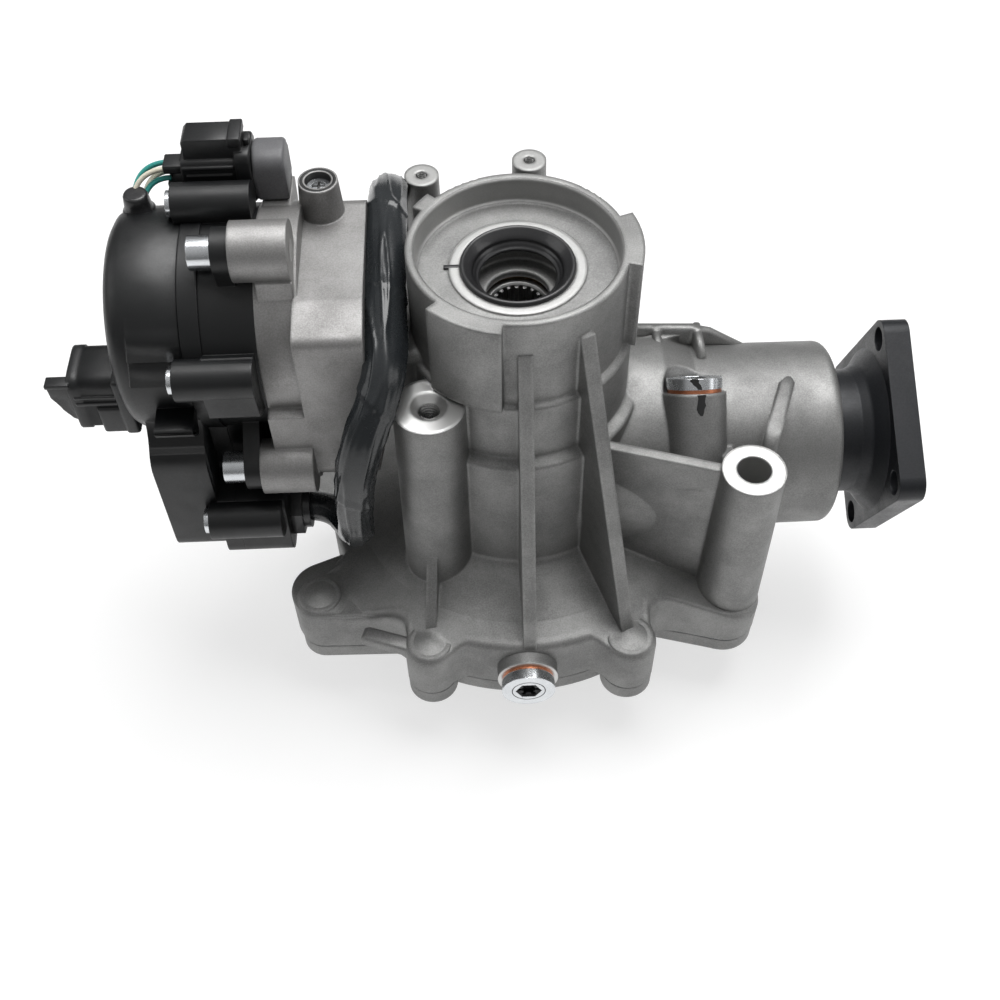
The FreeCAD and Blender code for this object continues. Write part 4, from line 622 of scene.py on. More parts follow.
def add_turned(mesh: Mesh, profile: Outline, base: Point, axis: Vector = Z_AXIS, sides: int = 72) -> None:
    """Adds a surface turned about an axis.

    Args:
        mesh: Takes the surface.
        profile: Radius and height of each ring.
        base: Foot of the axis.
        axis: Direction of the axis.
        sides: Number of faces round.
    """
    foot = placed(base, axis)
    add_rows(mesh, [[ring_spot(foot, max(radius, TIP_R), math.tau * k / sides, height) for k in range(sides)]
                    for radius, height in profile])


def add_thread(mesh: Mesh, crest: float, root: float, pitch: float, length: float,
               base: Point, sides: int = 40) -> None:
    """Adds the helical surface of an upright screw thread.

    Args:
        mesh: Takes the surface.
        crest: Radius of the ridges.
        root: Radius of the grooves.
        pitch: Distance from ridge to ridge.
        length: Length of the thread.
        base: Foot of its axis.
        sides: Number of faces round.
    """
    foot = placed(base)
    rows = []
    for i in range(int(length / pitch * THREAD_ROWS) + 1):
        height = i * pitch / THREAD_ROWS
        row = []
        for k in range(sides):
            turn = (height / pitch - k / sides) % 1.0
            radius = crest + (root - crest) * abs(2.0 * turn - 1.0)
            row.append(ring_spot(foot, radius, math.tau * k / sides, height))
        rows.append(row)
    add_rows(mesh, rows)


def rounded(corners: Outline, steps: int = 5) -> list[tuple[float, float]]:
    """Rounds the corners of an outline that carry a third value, their radius.

    Args:
        corners: Corners of the outline, with or without a radius.
        steps: Lines along each rounding.

    Returns:
        The outline's places.
    """
    line = []
    for i, corner in enumerate(corners):
        here = Vector(corner[:2])
        radius = corner[2] if len(corner) > 2 else 0.0
        if not radius:
            line.append(tuple(here))
            continue
        before = (Vector(corners[i - 1][:2]) - here).normalized() * radius
        after = (Vector(corners[(i + 1) % len(corners)][:2]) - here).normalized() * radius
        for k in range(steps + 1):
            t = k / steps
            line.append(tuple(here + before * (1 - t) ** 2 + after * t ** 2))
    return line


def add_prism(mesh: Mesh, outline: Outline, origin: Point,
              across: Vector, up: Vector, sweep: Vector, edge: float = 0.0) -> None:
    """Adds an outline swept straight, with softened end edges.

    Args:
        mesh: Takes the solid.
        outline: Corners (u, v).
        origin: Where u and v are zero.
        across: Direction of u.
        up: Direction of v.
        sweep: Direction and length of the sweep.
        edge: Radius of its softened edges.
    """
    part = bmesh.new()
    foot = at(*origin)
    low = [part.verts.new(foot + (across * u + up * v) * MM) for u, v in outline]
    high = [part.verts.new(v.co + sweep * MM) for v in low]
    ends = [part.faces.new(low), part.faces.new(list(reversed(high)))]
    for k in range(len(low)):
        n = (k + 1) % len(low)
        part.faces.new((low[k], high[k], high[n], low[n]))
    if edge:
        soften(part, list({e for face in ends for e in face.edges}), edge)
    copy_into(mesh, part)


def add_block(mesh: Mesh, low: Point, high: Point, edge: float) -> None:
    """Adds a box between two corners, with soft edges.

    Args:
        mesh: Takes the box.
        low: Its lowest corner.
        high: Its highest corner.
        edge: Radius of its edges.
    """
    part = bmesh.new()
    a, b = at(*low), at(*high)
    middle = Matrix.Translation((a + b) / 2) @ Matrix.Diagonal((*(b - a), 1.0))
    bmesh.ops.create_cube(part, size=1.0, matrix=middle)
    soften(part, list(part.edges), edge)
    copy_into(mesh, part)


def soften(part: Mesh, edges: list[bmesh.types.BMEdge], radius: float) -> None:
    """Rounds edges of a form by a radius."""
    bmesh.ops.bevel(part, geom=edges, offset=radius * MM, segments=3, profile=0.5, affect="EDGES",
                    clamp_overlap=True)


def copy_into(mesh: Mesh, part: Mesh) -> None:
    """Adds one mesh's faces to another and frees it.

    Args:
        mesh: Takes the faces.
        part: The mesh that is copied and freed.
    """
    made = {v: mesh.verts.new(v.co) for v in part.verts}
    for face in part.faces:
        mesh.faces.new([made[v] for v in face.verts])
    part.free()


# Sub-assemblies
@dataclass
class CaseSkirt:
    """Outer wall of the main case along its bolting flange, with bosses and foundry marks."""

    hulls: Outline = (
        (-91.0, -54.0, 11.0, -40.0, -45.0, 21.0), (92.2, -56.5, 14.0, 50.0, -32.0, 26.0),
        (-93.0, 36.0, 11.0, -45.0, 20.0, 26.0), (91.0, 40.0, 11.0, 45.0, 20.0, 26.0))
    bolts: tuple[Point, ...] = (
        (-42.0, -80.5, 11.0), (45.0, -81.5, 11.5), (-91.0, -54.0, 11.0), (-93.0, 36.0, 11.0),
        (-46.0, 80.0, 11.0), (2.0, 92.0, 11.0), (52.0, 77.0, 11.0), (91.0, 40.0, 11.0))
    slopes: tuple[Point, ...] = ((72.0, -29.35, 0.40), (77.0, -31.3, 0.40), (91.0, -36.9, 0.235))
    dome_top: float = -35.3
    dome_fall: float = 3.2
    dome_rise: float = 0.6
    dome_margin: float = 3.0
    marks: tuple[float, float] = (-103.5, -79.0)
    mark_foot: float = -59.0
    mark_half: float = 0.7
    mark_height: float = 0.45
    case_radius: float = 87.5
    levels: tuple[float, ...] = (-47.0, -50.0, -54.0, -58.0, -61.8)
    clear: float = 0.25
    lip: float = 4.0
    sides: int = 540
    discs_in_hull: int = 17
    corner_span: int = 4

    def reach(self, angle: float) -> float:
        """Distance from the axle axis to the flange's edge in one direction, in millimetres.

        Args:
            angle: Direction from the axle axis.

        Returns:
            The distance.
        """
        ahead = Vector((math.cos(angle), math.sin(angle)))
        best = self.case_radius
        discs = list(self.bolts)
        for hull in self.hulls:
            for i in range(self.discs_in_hull):
                t = i / (self.discs_in_hull - 1)
                discs.append(tuple(a + (b - a) * t for a, b in zip(hull[:3], hull[3:])))
        for x, y, r in discs:
            along = x * ahead.x + y * ahead.y
            beside = x * ahead.y - y * ahead.x
            if along > 0 and abs(beside) < r:
                best = max(best, along + math.sqrt(r * r - beside * beside))
        return best

    def edge_line(self) -> list[float]:
        """Distances to the flange's edge all round, with the corners between bosses filled in.

        Returns:
            The distance in each direction.
        """
        raw = [self.reach(math.tau * k / self.sides) for k in range(self.sides)]
        near = range(-self.corner_span, self.corner_span + 1)
        return [max(raw[k], sum(raw[(k + j) % self.sides] for j in near) / len(near))
                for k in range(self.sides)]

    def roof(self, x: float, y: float) -> float:
        """Height of the wall's top at a place, with a soft dome over each bolt.

        Args:
            x: Place along the pinion axis.
            y: Place towards the back.

        Returns:
            The height.
        """
        r = math.hypot(x, y)
        begin, top, fall = [s for i, s in enumerate(self.slopes) if i == 0 or r >= s[0]][-1]
        height = top - (r - begin) * fall
        for bx, by, br in self.bolts:
            off = math.hypot(x - bx, y - by) / (br + self.dome_margin)
            if off < 1.0:
                dome = self.dome_top - self.dome_fall * off * off
                height = max(height, dome) + self.dome_rise * (1 - off) ** 2
        return height

    def build(self, shop: Workshop) -> Piece:
        """Builds the wall as one sheet that starts just under the case's shoulder.

        Args:
            shop: Gives the casting's finish.

        Returns:
            The wall.
        """
        mesh = bmesh.new()
        line = self.edge_line()
        start = self.slopes[0][0]
        roof_rows, lip_rows = 14, 5
        every = range(self.sides)
        rows = []
        for i in range(roof_rows + 1):
            t = i / roof_rows
            rows.append([self.spot(k, start + (line[k] - self.lip - start) * t) for k in every])
        for i in range(1, lip_rows + 1):
            turn = math.radians(90.0 / lip_rows * i)
            out, down = (self.lip + self.clear) * math.sin(turn), self.lip * (1 - math.cos(turn))
            rows.append([self.spot(k, line[k] - self.lip + out, down=down, measured=line[k] - self.lip)
                         for k in every])
        for z in self.levels:
            rows.append([self.spot(k, line[k] + self.clear + self.mark(k, z), z) for k in every])
        add_rows(mesh, rows)
        return shop.piece("case_skirt", mesh, Finish.CAST)

    def mark(self, k: int, z: float) -> float:
        """Height of the raised foundry lines beside the drain boss, in millimetres.

        Args:
            k: Number of the direction.
            z: Height on the wall.

        Returns:
            The line's height, or none beside it.
        """
        degrees = math.degrees(math.tau * k / self.sides) - 360.0
        near = any(abs(degrees - a) < self.mark_half for a in self.marks)
        return self.mark_height if near and z > self.mark_foot else 0.0

    def spot(self, k: int, r: float, z: float | None = None, down: float = 0.0,
             measured: float | None = None) -> Vector:
        """Place in one direction, on the upright wall if a height is given, else on the roof.

        Args:
            k: Number of the direction.
            r: Distance from the axle axis.
            z: Height on the upright wall.
            down: Distance below the roof.
            measured: Distance at which the roof's height is read, if not at r.

        Returns:
            The place in metres.
        """
        angle = math.tau * k / self.sides
        across, back = math.cos(angle), math.sin(angle)
        if z is None:
            at_r = r if measured is None else measured
            z = self.roof(at_r * across, at_r * back) - down
        return at(r * across, r * back, z)


@dataclass
class CaseForms:
    """Cast forms on the main case: pocket behind the fill plug, tube ridge, foundry strip.

    Each web has its two ends in plan, its thickness, its profile (distance, height) and the
    radius of its edges.
    """

    gusset: ClassVar[Outline] = ((0, 24), (20, 24), (20, 41.6), (0, 42.6))
    webs: tuple[Any, ...] = (
        ((38.0, 29.5), (104.0, 25.0), 3.8,
         ((0, 12), (66, 12), (66, 30), (48, 41), (40, 42.3), (0, 42.5)), 1.4),
        ((62.0, 10.0), (62.0, 30.0), 4.0, gusset, 1.4),
        ((80.0, 10.0), (80.0, 30.0), 4.0, gusset, 1.4),
        ((117.0, 2.0), (101.0, -40.0), 6.5,
         ((0, 34), (45, 4), (45, 39.5), (34, 40.2), (12, 41.2), (0, 40.0)), 2.6),
        ((-71.5, -73.0), (-46.0, -82.0), 7.0,
         ((0, -44), (27, -44), (27, -39.3), (25, -37.9), (2, -37.9), (0, -39.3)), 1.2))

    def build(self, shop: Workshop) -> Piece:
        """Builds the cast forms as one piece.

        Args:
            shop: Gives the casting's finish.

        Returns:
            The forms.
        """
        mesh = bmesh.new()
        for start, end, thick, profile, edge in self.webs:
            self.upright(mesh, start, end, thick, profile, edge)
        return shop.piece("case_forms", mesh, Finish.CAST)

    def upright(self, mesh: Mesh, start: tuple[float, float], end: tuple[float, float],
                thick: float, profile: Outline, edge: float) -> None:
        """Adds an upright web between two places in plan.

        Args:
            mesh: Takes the web.
            start: One end of the web's middle.
            end: Its other end.
            thick: Its thickness.
            profile: Distance from the start and height of each corner.
            edge: Radius of its edges.
        """
        a, b = Vector((*start, 0.0)), Vector((*end, 0.0))
        along = (b - a).normalized()
        beside = Vector((-along.y, along.x, 0.0))
        foot = a - beside * thick / 2
        add_prism(mesh, profile, tuple(foot), along, Z_AXIS, beside * thick, edge)


@dataclass
class Threads:
    """Threads in the case's threaded boss and its two small bosses."""

    boss: Point = (-36.4, -41.0, 47.0)
    posts: tuple[Point, ...] = ((-38.0, 80.0, 73.6), (9.0, 84.0, 76.6))

    def build(self, shop: Workshop) -> Piece:
        """Builds the threads as one piece.

        Args:
            shop: Gives the finishes.

        Returns:
            The threads.
        """
        mesh = bmesh.new()
        add_thread(mesh, crest=3.55, root=4.22, pitch=1.5, length=22.0, base=self.boss)
        for post in self.posts:
            add_thread(mesh, crest=1.95, root=2.46, pitch=1.0, length=13.0, base=post, sides=32)
        return shop.piece("case_threads", mesh, Finish.THREAD)


@dataclass
class LipSeal:
    """Rubber lip seal in the left-hand collar, in place of its plain ring."""

    mouth: float = 104.8
    # Near-black block whose top stands just proud of the ring's face: painted shade of a slot.
    slot: tuple[Point, Point] = ((-28.6, 0.2, 103.8), (-22.2, 2.0, 104.88))
    profile: Outline = (
        (22.4, -7.6), (22.45, 0.9), (22.2, 1.4), (21.6, 1.7), (21.0, 1.6), (20.5, 1.1), (19.6, 0.3),
        (18.6, -0.6), (17.9, -1.4), (17.5, -2.2), (17.6, -2.6), (17.0, -3.0), (16.4, -3.9), (16.1, -4.5),
        (15.5, -4.6), (15.2, -5.0), (15.1, -5.6), (15.5, -6.3), (17.0, -7.6), (22.4, -7.6))

    def build(self, shop: Workshop) -> Piece:
        """Builds the seal and, beside it, a near-black block whose top stands for a slot in the ring:
        painted shade.

        Args:
            shop: Gives the rubber's finish.

        Returns:
            The seal.
        """
        mesh = bmesh.new()
        add_turned(mesh, self.profile, (0.0, 0.0, self.mouth), sides=96)
        add_block(mesh, *self.slot, 0.05)
        seal = shop.piece("left_seal_lips", mesh, Finish.RUBBER)
        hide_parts("left_seal")
        return seal


@dataclass
class PlugDetail:
    """Near-black lining of the drain plug's socket, which is painted shade in the recess, and the paint
    strokes across the fill plug.

    Each row of a stroke gives its height from the plug's seat and the angles of its edges.
    """

    fill_seat: Point = (73.0, -13.6, 44.2)
    fill_tilt: float = 43.0
    drain: Point = (0.0, -99.2, -50.0)
    # Profiles of the socket's near-black rim, lining and teeth: painted shade in the recess.
    drain_rim: Outline = ((7.4, -0.05), (6.3, 0.08), (5.7, 0.12))
    drain_hole: Outline = ((5.72, 0.12), (5.2, 0.7), (5.1, 3.4), (0.0, 3.45))
    drain_tooth: Outline = ((3.0, -0.9), (5.3, -1.7), (5.3, 1.7), (3.0, 0.9))
    tooth_start: float = 0.9
    tooth_depth: float = 2.6
    teeth: int = 6
    head_side: float = 11.72
    boss_side: float = 13.28
    head_top: float = 6.21
    head_stroke: Outline = (
        (6.22, 2, 15), (5.4, 0, 19), (4.6, 1, 14), (3.8, -3, 12), (2.9, -5, 6), (1.8, -6, 2))
    boss_stroke: Outline = (
        (-0.2, -12, 5), (-1.6, -10, 3), (-3.2, -9, 4), (-4.6, -11, 5), (-6.0, -8, 6), (-7.4, -7, 4),
        (-8.8, -5, -1))
    top_stroke: Outline = (
        (-1.0, -3.5), (3.4, -4.5), (4.2, -8.5), (0.6, -10.6), (-0.8, -7.0))

    def build(self, shop: Workshop) -> list[Piece]:
        """Builds the socket's painted shade and the strokes.

        Args:
            shop: Gives the finishes.

        Returns:
            The socket's painted shade and the strokes.
        """
        # The socket is a near-black lining of the plug's recess: painted shade.
        socket = bmesh.new()
        add_turned(socket, self.drain_rim, self.drain, Y_AXIS, 48)
        add_turned(socket, self.drain_hole, self.drain, Y_AXIS, 6)
        self.star(socket)
        made = [shop.piece("drain_socket_shade", socket, Finish.PHOSPHATE_AND_SHADE, smooth=False)]
        lean = math.radians(self.fill_tilt)
        up = Vector((0.0, math.sin(lean), math.cos(lean)))
        front = Vector((0.0, -math.cos(lean), math.sin(lean)))
        paint = bmesh.new()
        foot = Vector(self.fill_seat)
        for radius, rows in ((self.head_side, self.head_stroke), (self.boss_side, self.boss_stroke)):
            self.stroke(paint, foot, up, front, radius, rows)
        add_prism(paint, self.top_stroke, tuple(foot + up * self.head_top), X_AXIS, -front, up * 0.05)
        made.append(shop.piece("fill_plug_strokes", paint, Finish.PAINT, smooth=False))
        return made

    def star(self, mesh: Mesh) -> None:
        """Adds the raised corners that give the drain plug's socket its star shape, near-black like the
        lining: painted shade.

        Args:
            mesh: Takes the corners.
        """
        x, y, z = self.drain
        foot, sweep = (x, y + self.tooth_start, z), Y_AXIS * self.tooth_depth
        for i in range(self.teeth):
            angle = math.tau * (i + 0.5) / self.teeth
            out = Vector((math.cos(angle), 0.0, math.sin(angle)))
            add_prism(mesh, self.drain_tooth, foot, out, Vector((-out.z, 0.0, out.x)), sweep)

    def stroke(self, mesh: Mesh, foot: Vector, up: Vector, front: Vector, radius: float,
               rows: Outline) -> None:
        """Adds a stroke of paint on a round side.

        Args:
            mesh: Takes the stroke.
            foot: Middle of the plug's seat.
            up: Direction of the plug's axis.
            front: Direction from the axis to the side that is seen.
            radius: Radius of the side.
            rows: Height and the angles of both edges, row by row.
        """
        beside = front.cross(up)
        steps = 5
        sheet = []
        for height, low, high in rows:
            row = []
            for i in range(steps + 1):
                angle = math.radians(low + (high - low) * i / steps)
                out = front * math.cos(angle) + beside * math.sin(angle)
                row.append(at(*(foot + up * height + out * radius)))
            sheet.append(row)
        add_rows(mesh, sheet, closed=False)


@dataclass
class PowerSocket:
    """Square connector on the motor cap, with its guide tongue, in place of the plain one."""

    tip: float = -181.5
    seat: float = -157.0
    y: tuple[float, float] = (-18.0, 6.0)
    z: tuple[float, float] = (40.5, 67.5)
    tongue: Outline = (
        (-189.6, 66), (-180, 66), (-180, 44), (-183.4, 46.5), (-184.4, 50), (-186.2, 51.5),
        (-187.0, 56.0), (-189.2, 58.5))

    def build(self, shop: Workshop) -> Piece:
        """Builds the connector.

        Args:
            shop: Gives the finishes.

        Returns:
            The connector.
        """
        mesh = bmesh.new()
        (y0, y1), (z0, z1) = self.y, self.z
        self.shell(mesh, rounded([(y0, z0, 3), (y1, z0, 3), (y1, z1, 6), (y0, z1, 7)]))
        blocks = (
            ((-172.0, y0 - 1.6, z0 - 1.6), (self.seat, y1 + 1.0, z0 + 13.0), 1.4),
            ((-163.0, y0 - 2.2, z0 - 2.4), (self.seat, y1 + 1.6, z1 + 1.2), 1.6),
            ((-179.5, y0 - 0.9, z0 + 14.2), (self.seat, y0 + 1.0, z0 + 16.0), 0.4),
            ((-179.5, y0 - 0.9, z0 + 18.0), (self.seat, y0 + 1.0, z0 + 19.4), 0.4))
        for low, high, edge in blocks:
            add_block(mesh, low, high, edge)
        add_prism(mesh, self.tongue, (0, y0 + 0.6, 0), X_AXIS, Z_AXIS, Y_AXIS * 2.6, 0.5)
        add_block(mesh, (-189.8, y0 - 0.2, 64.4), (-180.0, y0 + 5.4, 66.4), 0.5)
        socket = shop.piece("power_socket_shell", mesh, Finish.CONNECTOR)
        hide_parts("power_socket")
        return socket

    def shell(self, mesh: Mesh, ring_of: Outline) -> None:
        """Adds the hollow square tube of the connector.

        Args:
            mesh: Takes the tube.
            ring_of: Its outline (y, z).
        """
        y0, z0 = sum(self.y) / 2, sum(self.z) / 2
        half_y, half_z = self.y[1] - y0, self.z[1] - z0
        steps = [(self.seat, 0.0), (self.tip + 5.2, 0.0), (self.tip + 5.0, -0.5), (self.tip + 0.8, -0.5),
                 (self.tip + 0.2, -0.2), (self.tip, 0.4), (self.tip, 1.6), (self.tip + 0.6, 2.0),
                 (self.tip + 17.0, 2.2), (self.tip + 17.0, 11.9)]
        add_rows(mesh, [[at(x, y0 + (y - y0) * (1 - inset / half_y), z0 + (z - z0) * (1 - inset / half_z))
                         for y, z in ring_of] for x, inset in steps])


@dataclass
class MotorCap:
    """Drum-shaped motor cap with its sloped lobe and ribs, in place of the plain one."""

    y: float = 15.0
    z: float = 70.0
    radius: float = 45.0
    end: float = -159.0
    step: float = -129.0
    outline: Outline = ((-24, 66, 6), (-27.0, 47, 9), (-37.5, 38, 6), (-38, -20, 9), (3, -20, 12),
                        (43, 38, 10), (20, 70))

    def build(self, shop: Workshop) -> Piece:
        """Builds the cap.

        Args:
            shop: Gives the finishes.

        Returns:
            The cap.
        """
        mesh = bmesh.new()
        length = self.step - self.end
        profile = [(0.0, 0.0), (31.0, 0.0), (36.5, 0.15), (40.2, 0.9), (42.8, 2.6), (44.2, 4.8), (44.8, 7.6),
                   (self.radius, 12.0), (self.radius, length - 0.6), (self.radius - 0.5, length),
                   (self.radius - 4.0, length)]
        add_turned(mesh, profile, (self.end, self.y, self.z), X_AXIS, 128)
        self.lobe(mesh, self.outline, self.end + 7.5, 4.5)
        for y, z in ((-31.4, 79.0), (-26.0, 87.0)):
            rib = [(y, z), (y - 2.6, z + 1.6), (y + 9, z + 14), (y + 11, z + 12)]
            self.lobe(mesh, rib, self.end + 9.0, 0.7)
        ear = [(-33.0, 52.0, 2), (-40.6, 58.0, 4), (-41.6, 62.5, 2), (-28.0, 64.0)]
        self.lobe(mesh, ear, self.end + 15.0, 1.4)
        cap = shop.piece("motor_cap_shell", mesh, Finish.SHELL)
        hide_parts("motor_cap")
        return cap

    def lobe(self, mesh: Mesh, outline: Outline, x: float, edge: float) -> None:
        """Adds a form with an outline (y, z) from one station to the cap's open end."""
        add_prism(mesh, rounded(outline), (x, 0, 0), Y_AXIS, Z_AXIS, X_AXIS * (self.step - x), edge)


@dataclass
class SensorConnector:
    """Plug and grey socket on the adapter housing, in place of the plain ones."""

    y: float = 44.2
    z: float = 121.5
    ribs: tuple[float, ...] = (-6.0, -2.0, 2.0)
    latch: Outline = ((-127.0, 8.0), (-127.0, 16.0), (-125.5, 17.5), (-107.0, 17.5), (-104.6, 16.0),
                      (-104.6, 8.0))

    def build(self, shop: Workshop) -> list[Piece]:
        """Builds the plug with its latch and collar, and the socket.

        Args:
            shop: Gives the finishes.

        Returns:
            The plug and the socket.
        """
        y, z = self.y, self.z
        plug = bmesh.new()
        add_prism(plug, self.section(8, 9, 9, 2.5, 2.5), (-128.7, 0, 0), Y_AXIS, Z_AXIS, X_AXIS * 22.0, 1.0)
        add_prism(plug, self.section(9, 11, 12, 3, 4), (-107.6, 0, 0), Y_AXIS, Z_AXIS, X_AXIS * 6.2, 1.1)
        add_prism(plug, self.latch, (0, y - 6.0, z), X_AXIS, Z_AXIS, Y_AXIS * 12.0, 0.7)
        ribs = [((-126.8, y - 8.6, z + k), (-109.0, y - 7.4, z + k + 1.2), 0.3) for k in self.ribs]
        blocks = (
            ((-109.0, y - 6.6, z + 14.0), (-104.0, y + 6.6, z + 18.0), 0.6),
            ((-103.8, y - 2.6, z + 12.0), (-101.6, y + 2.6, z + 14.6), 0.5),
            *ribs,
            ((-128.0, y - 8.8, z + 5.4), (-108.0, y + 8.6, z + 7.0), 0.5),
            ((-136.8, y - 4.0, z + 0.6), (-128.0, y + 4.6, z + 4.4), 0.8),
            ((-136.0, y - 4.6, z - 5.6), (-128.0, y + 4.6, z - 3.0), 0.8))
        for low, high, edge in blocks:
            add_block(plug, low, high, edge)
        made = [shop.piece("sensor_plug_body", plug, Finish.CONNECTOR)]
        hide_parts("sensor_plug")
        socket = bmesh.new()
        add_prism(socket, self.section(9, 10, 10, 2, 7), (-101.2, 0, 0), Y_AXIS, Z_AXIS, X_AXIS * 12.5, 1.5)
        made.append(shop.piece("sensor_socket_body", socket, Finish.GREY_PLASTIC))
        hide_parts("sensor_socket")
        return made

    def section(self, half: float, low: float, high: float, low_r: float, high_r: float) -> Outline:
        """Outline (y, z) about the plug's axis, with its low and its high corners rounded."""
        y, z = self.y, self.z
        return rounded([(y - half, z - low, low_r), (y + half, z - low, low_r),
                        (y + half, z + high, high_r), (y - half, z + high, high_r)])


@dataclass
class WireBoot:
    """Slim tapered rubber boot that the sensor wires enter, in place of the plain one."""

    foot: Point = (-148.0, 34.0, 110.2)
    profile: Outline = ((4.6, -4.0), (6.6, -3.0), (6.6, 0.6), (6.1, 1.2), (5.6, 1.6), (5.2, 5.0),
                        (4.9, 7.6), (4.4, 8.4), (3.6, 8.6), (0.0, 8.3))

    def build(self, shop: Workshop) -> Piece:
        """Builds the boot.

        Args:
            shop: Gives the finishes.

        Returns:
            The boot.
        """
        mesh = bmesh.new()
        add_turned(mesh, self.profile, self.foot, Z_AXIS, 40)
        boot = shop.piece("wire_boot_slim", mesh, Finish.RUBBER)
        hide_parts("wire_boot")
        return boot


@dataclass
class ScrewMarks:
    """Dark ends in the adapter's lugs, and the vent screw, with painted shade in its bore and in its cross
    recess.
    """

    lugs: Outline = ((-3.0, 119.4), (-33.0, 30.0), (66.6, 57.0))
    lug_end: float = -85.0
    lug_profile: Outline = ((4.4, 0.02), (4.3, 0.12), (3.4, 0.14), (3.2, 0.06), (0.0, 0.05))
    vent: Point = (-76.7, 36.6, 114.0)
    # Profile of the bore's near-black lining and the ring round its mouth: painted shade.
    bore: Outline = ((5.2, 0.05), (5.2, 5.9), (6.6, 6.1), (7.2, 6.0))
    head: Outline = ((4.2, -1.0), (4.1, 2.4), (3.6, 2.9), (2.0, 3.1), (0.0, 3.1))
    arm: float = 2.6
    half_slot: float = 0.5

    def build(self, shop: Workshop) -> list[Piece]:
        """Builds the dark ends, the painted shade that lines the vent's bore, and its screw with a cross of
        painted shade for its recess.

        Args:
            shop: Gives the finishes.

        Returns:
            The ends, the bore's painted shade, the screw and its cross.
        """
        dark = bmesh.new()
        for y, z in self.lugs:
            add_turned(dark, self.lug_profile, (self.lug_end, y, z), X_AXIS, 32)
        made = [shop.piece("lug_screw_ends", dark, Finish.GEAR)]
        rim, head, slots = bmesh.new(), bmesh.new(), bmesh.new()
        # Near-black lining of the vent's bore and a ring round its mouth: painted shade.
        add_turned(rim, self.bore, self.vent, Z_AXIS, 48)
        made.append(shop.piece("vent_bore_shade", rim, Finish.PAINT))
        add_turned(head, self.head, self.vent, Z_AXIS, 40)
        made.append(shop.piece("vent_screw_head", head, Finish.ZINC))
        x, y, z = self.vent
        # The cross recess is drawn as a thin near-black cross on the head: painted shade.
        for dx, dy, top in ((self.arm, self.half_slot, 3.16), (self.half_slot, self.arm, 3.17)):
            add_block(slots, (x - dx, y - dy, z + 2.8), (x + dx, y + dy, z + top), 0.1)
        made.append(shop.piece("vent_screw_cross_shade", slots, Finish.PAINT))
        return made


# Cords that the part holds
def smooth_line(points: Sequence[Point], steps: int) -> list[Vector]:
    """Reads a smooth line through the places that a cord is led by.

    Args:
        points: Places that the cord is led by.
        steps: How finely the line is read between two of them.

    Returns:
        Places along the line, in metres.
    """
    curve = cord_curve("line_reader", points, steps)
    reader = bpy.data.objects.new("line_reader", curve)
    mesh = bpy.data.meshes.new_from_object(reader)
    line = [v.co.copy() for v in mesh.vertices]
    bpy.data.objects.remove(reader)
    bpy.data.meshes.remove(mesh)
    bpy.data.curves.remove(curve)
    return line


def cord_curve(name: str, points: Sequence[Point], steps: int) -> bpy.types.Curve:
    """Makes the smooth curve that a cord follows.

    Args:
        name: Name of the curve.
        points: Places that the cord is led by.
        steps: How finely it is drawn between two of them.

    Returns:
        The curve.
    """
    curve = bpy.data.curves.new(name, "CURVE")
    curve.dimensions = "3D"
    curve.resolution_u = steps
    spline = curve.splines.new("NURBS")
    spline.points.add(len(points) - 1)
    for knot, point in zip(spline.points, points):
        knot.co = (*at(*point), 1.0)
    spline.order_u = 3
    spline.use_endpoint_u = True
    return curve


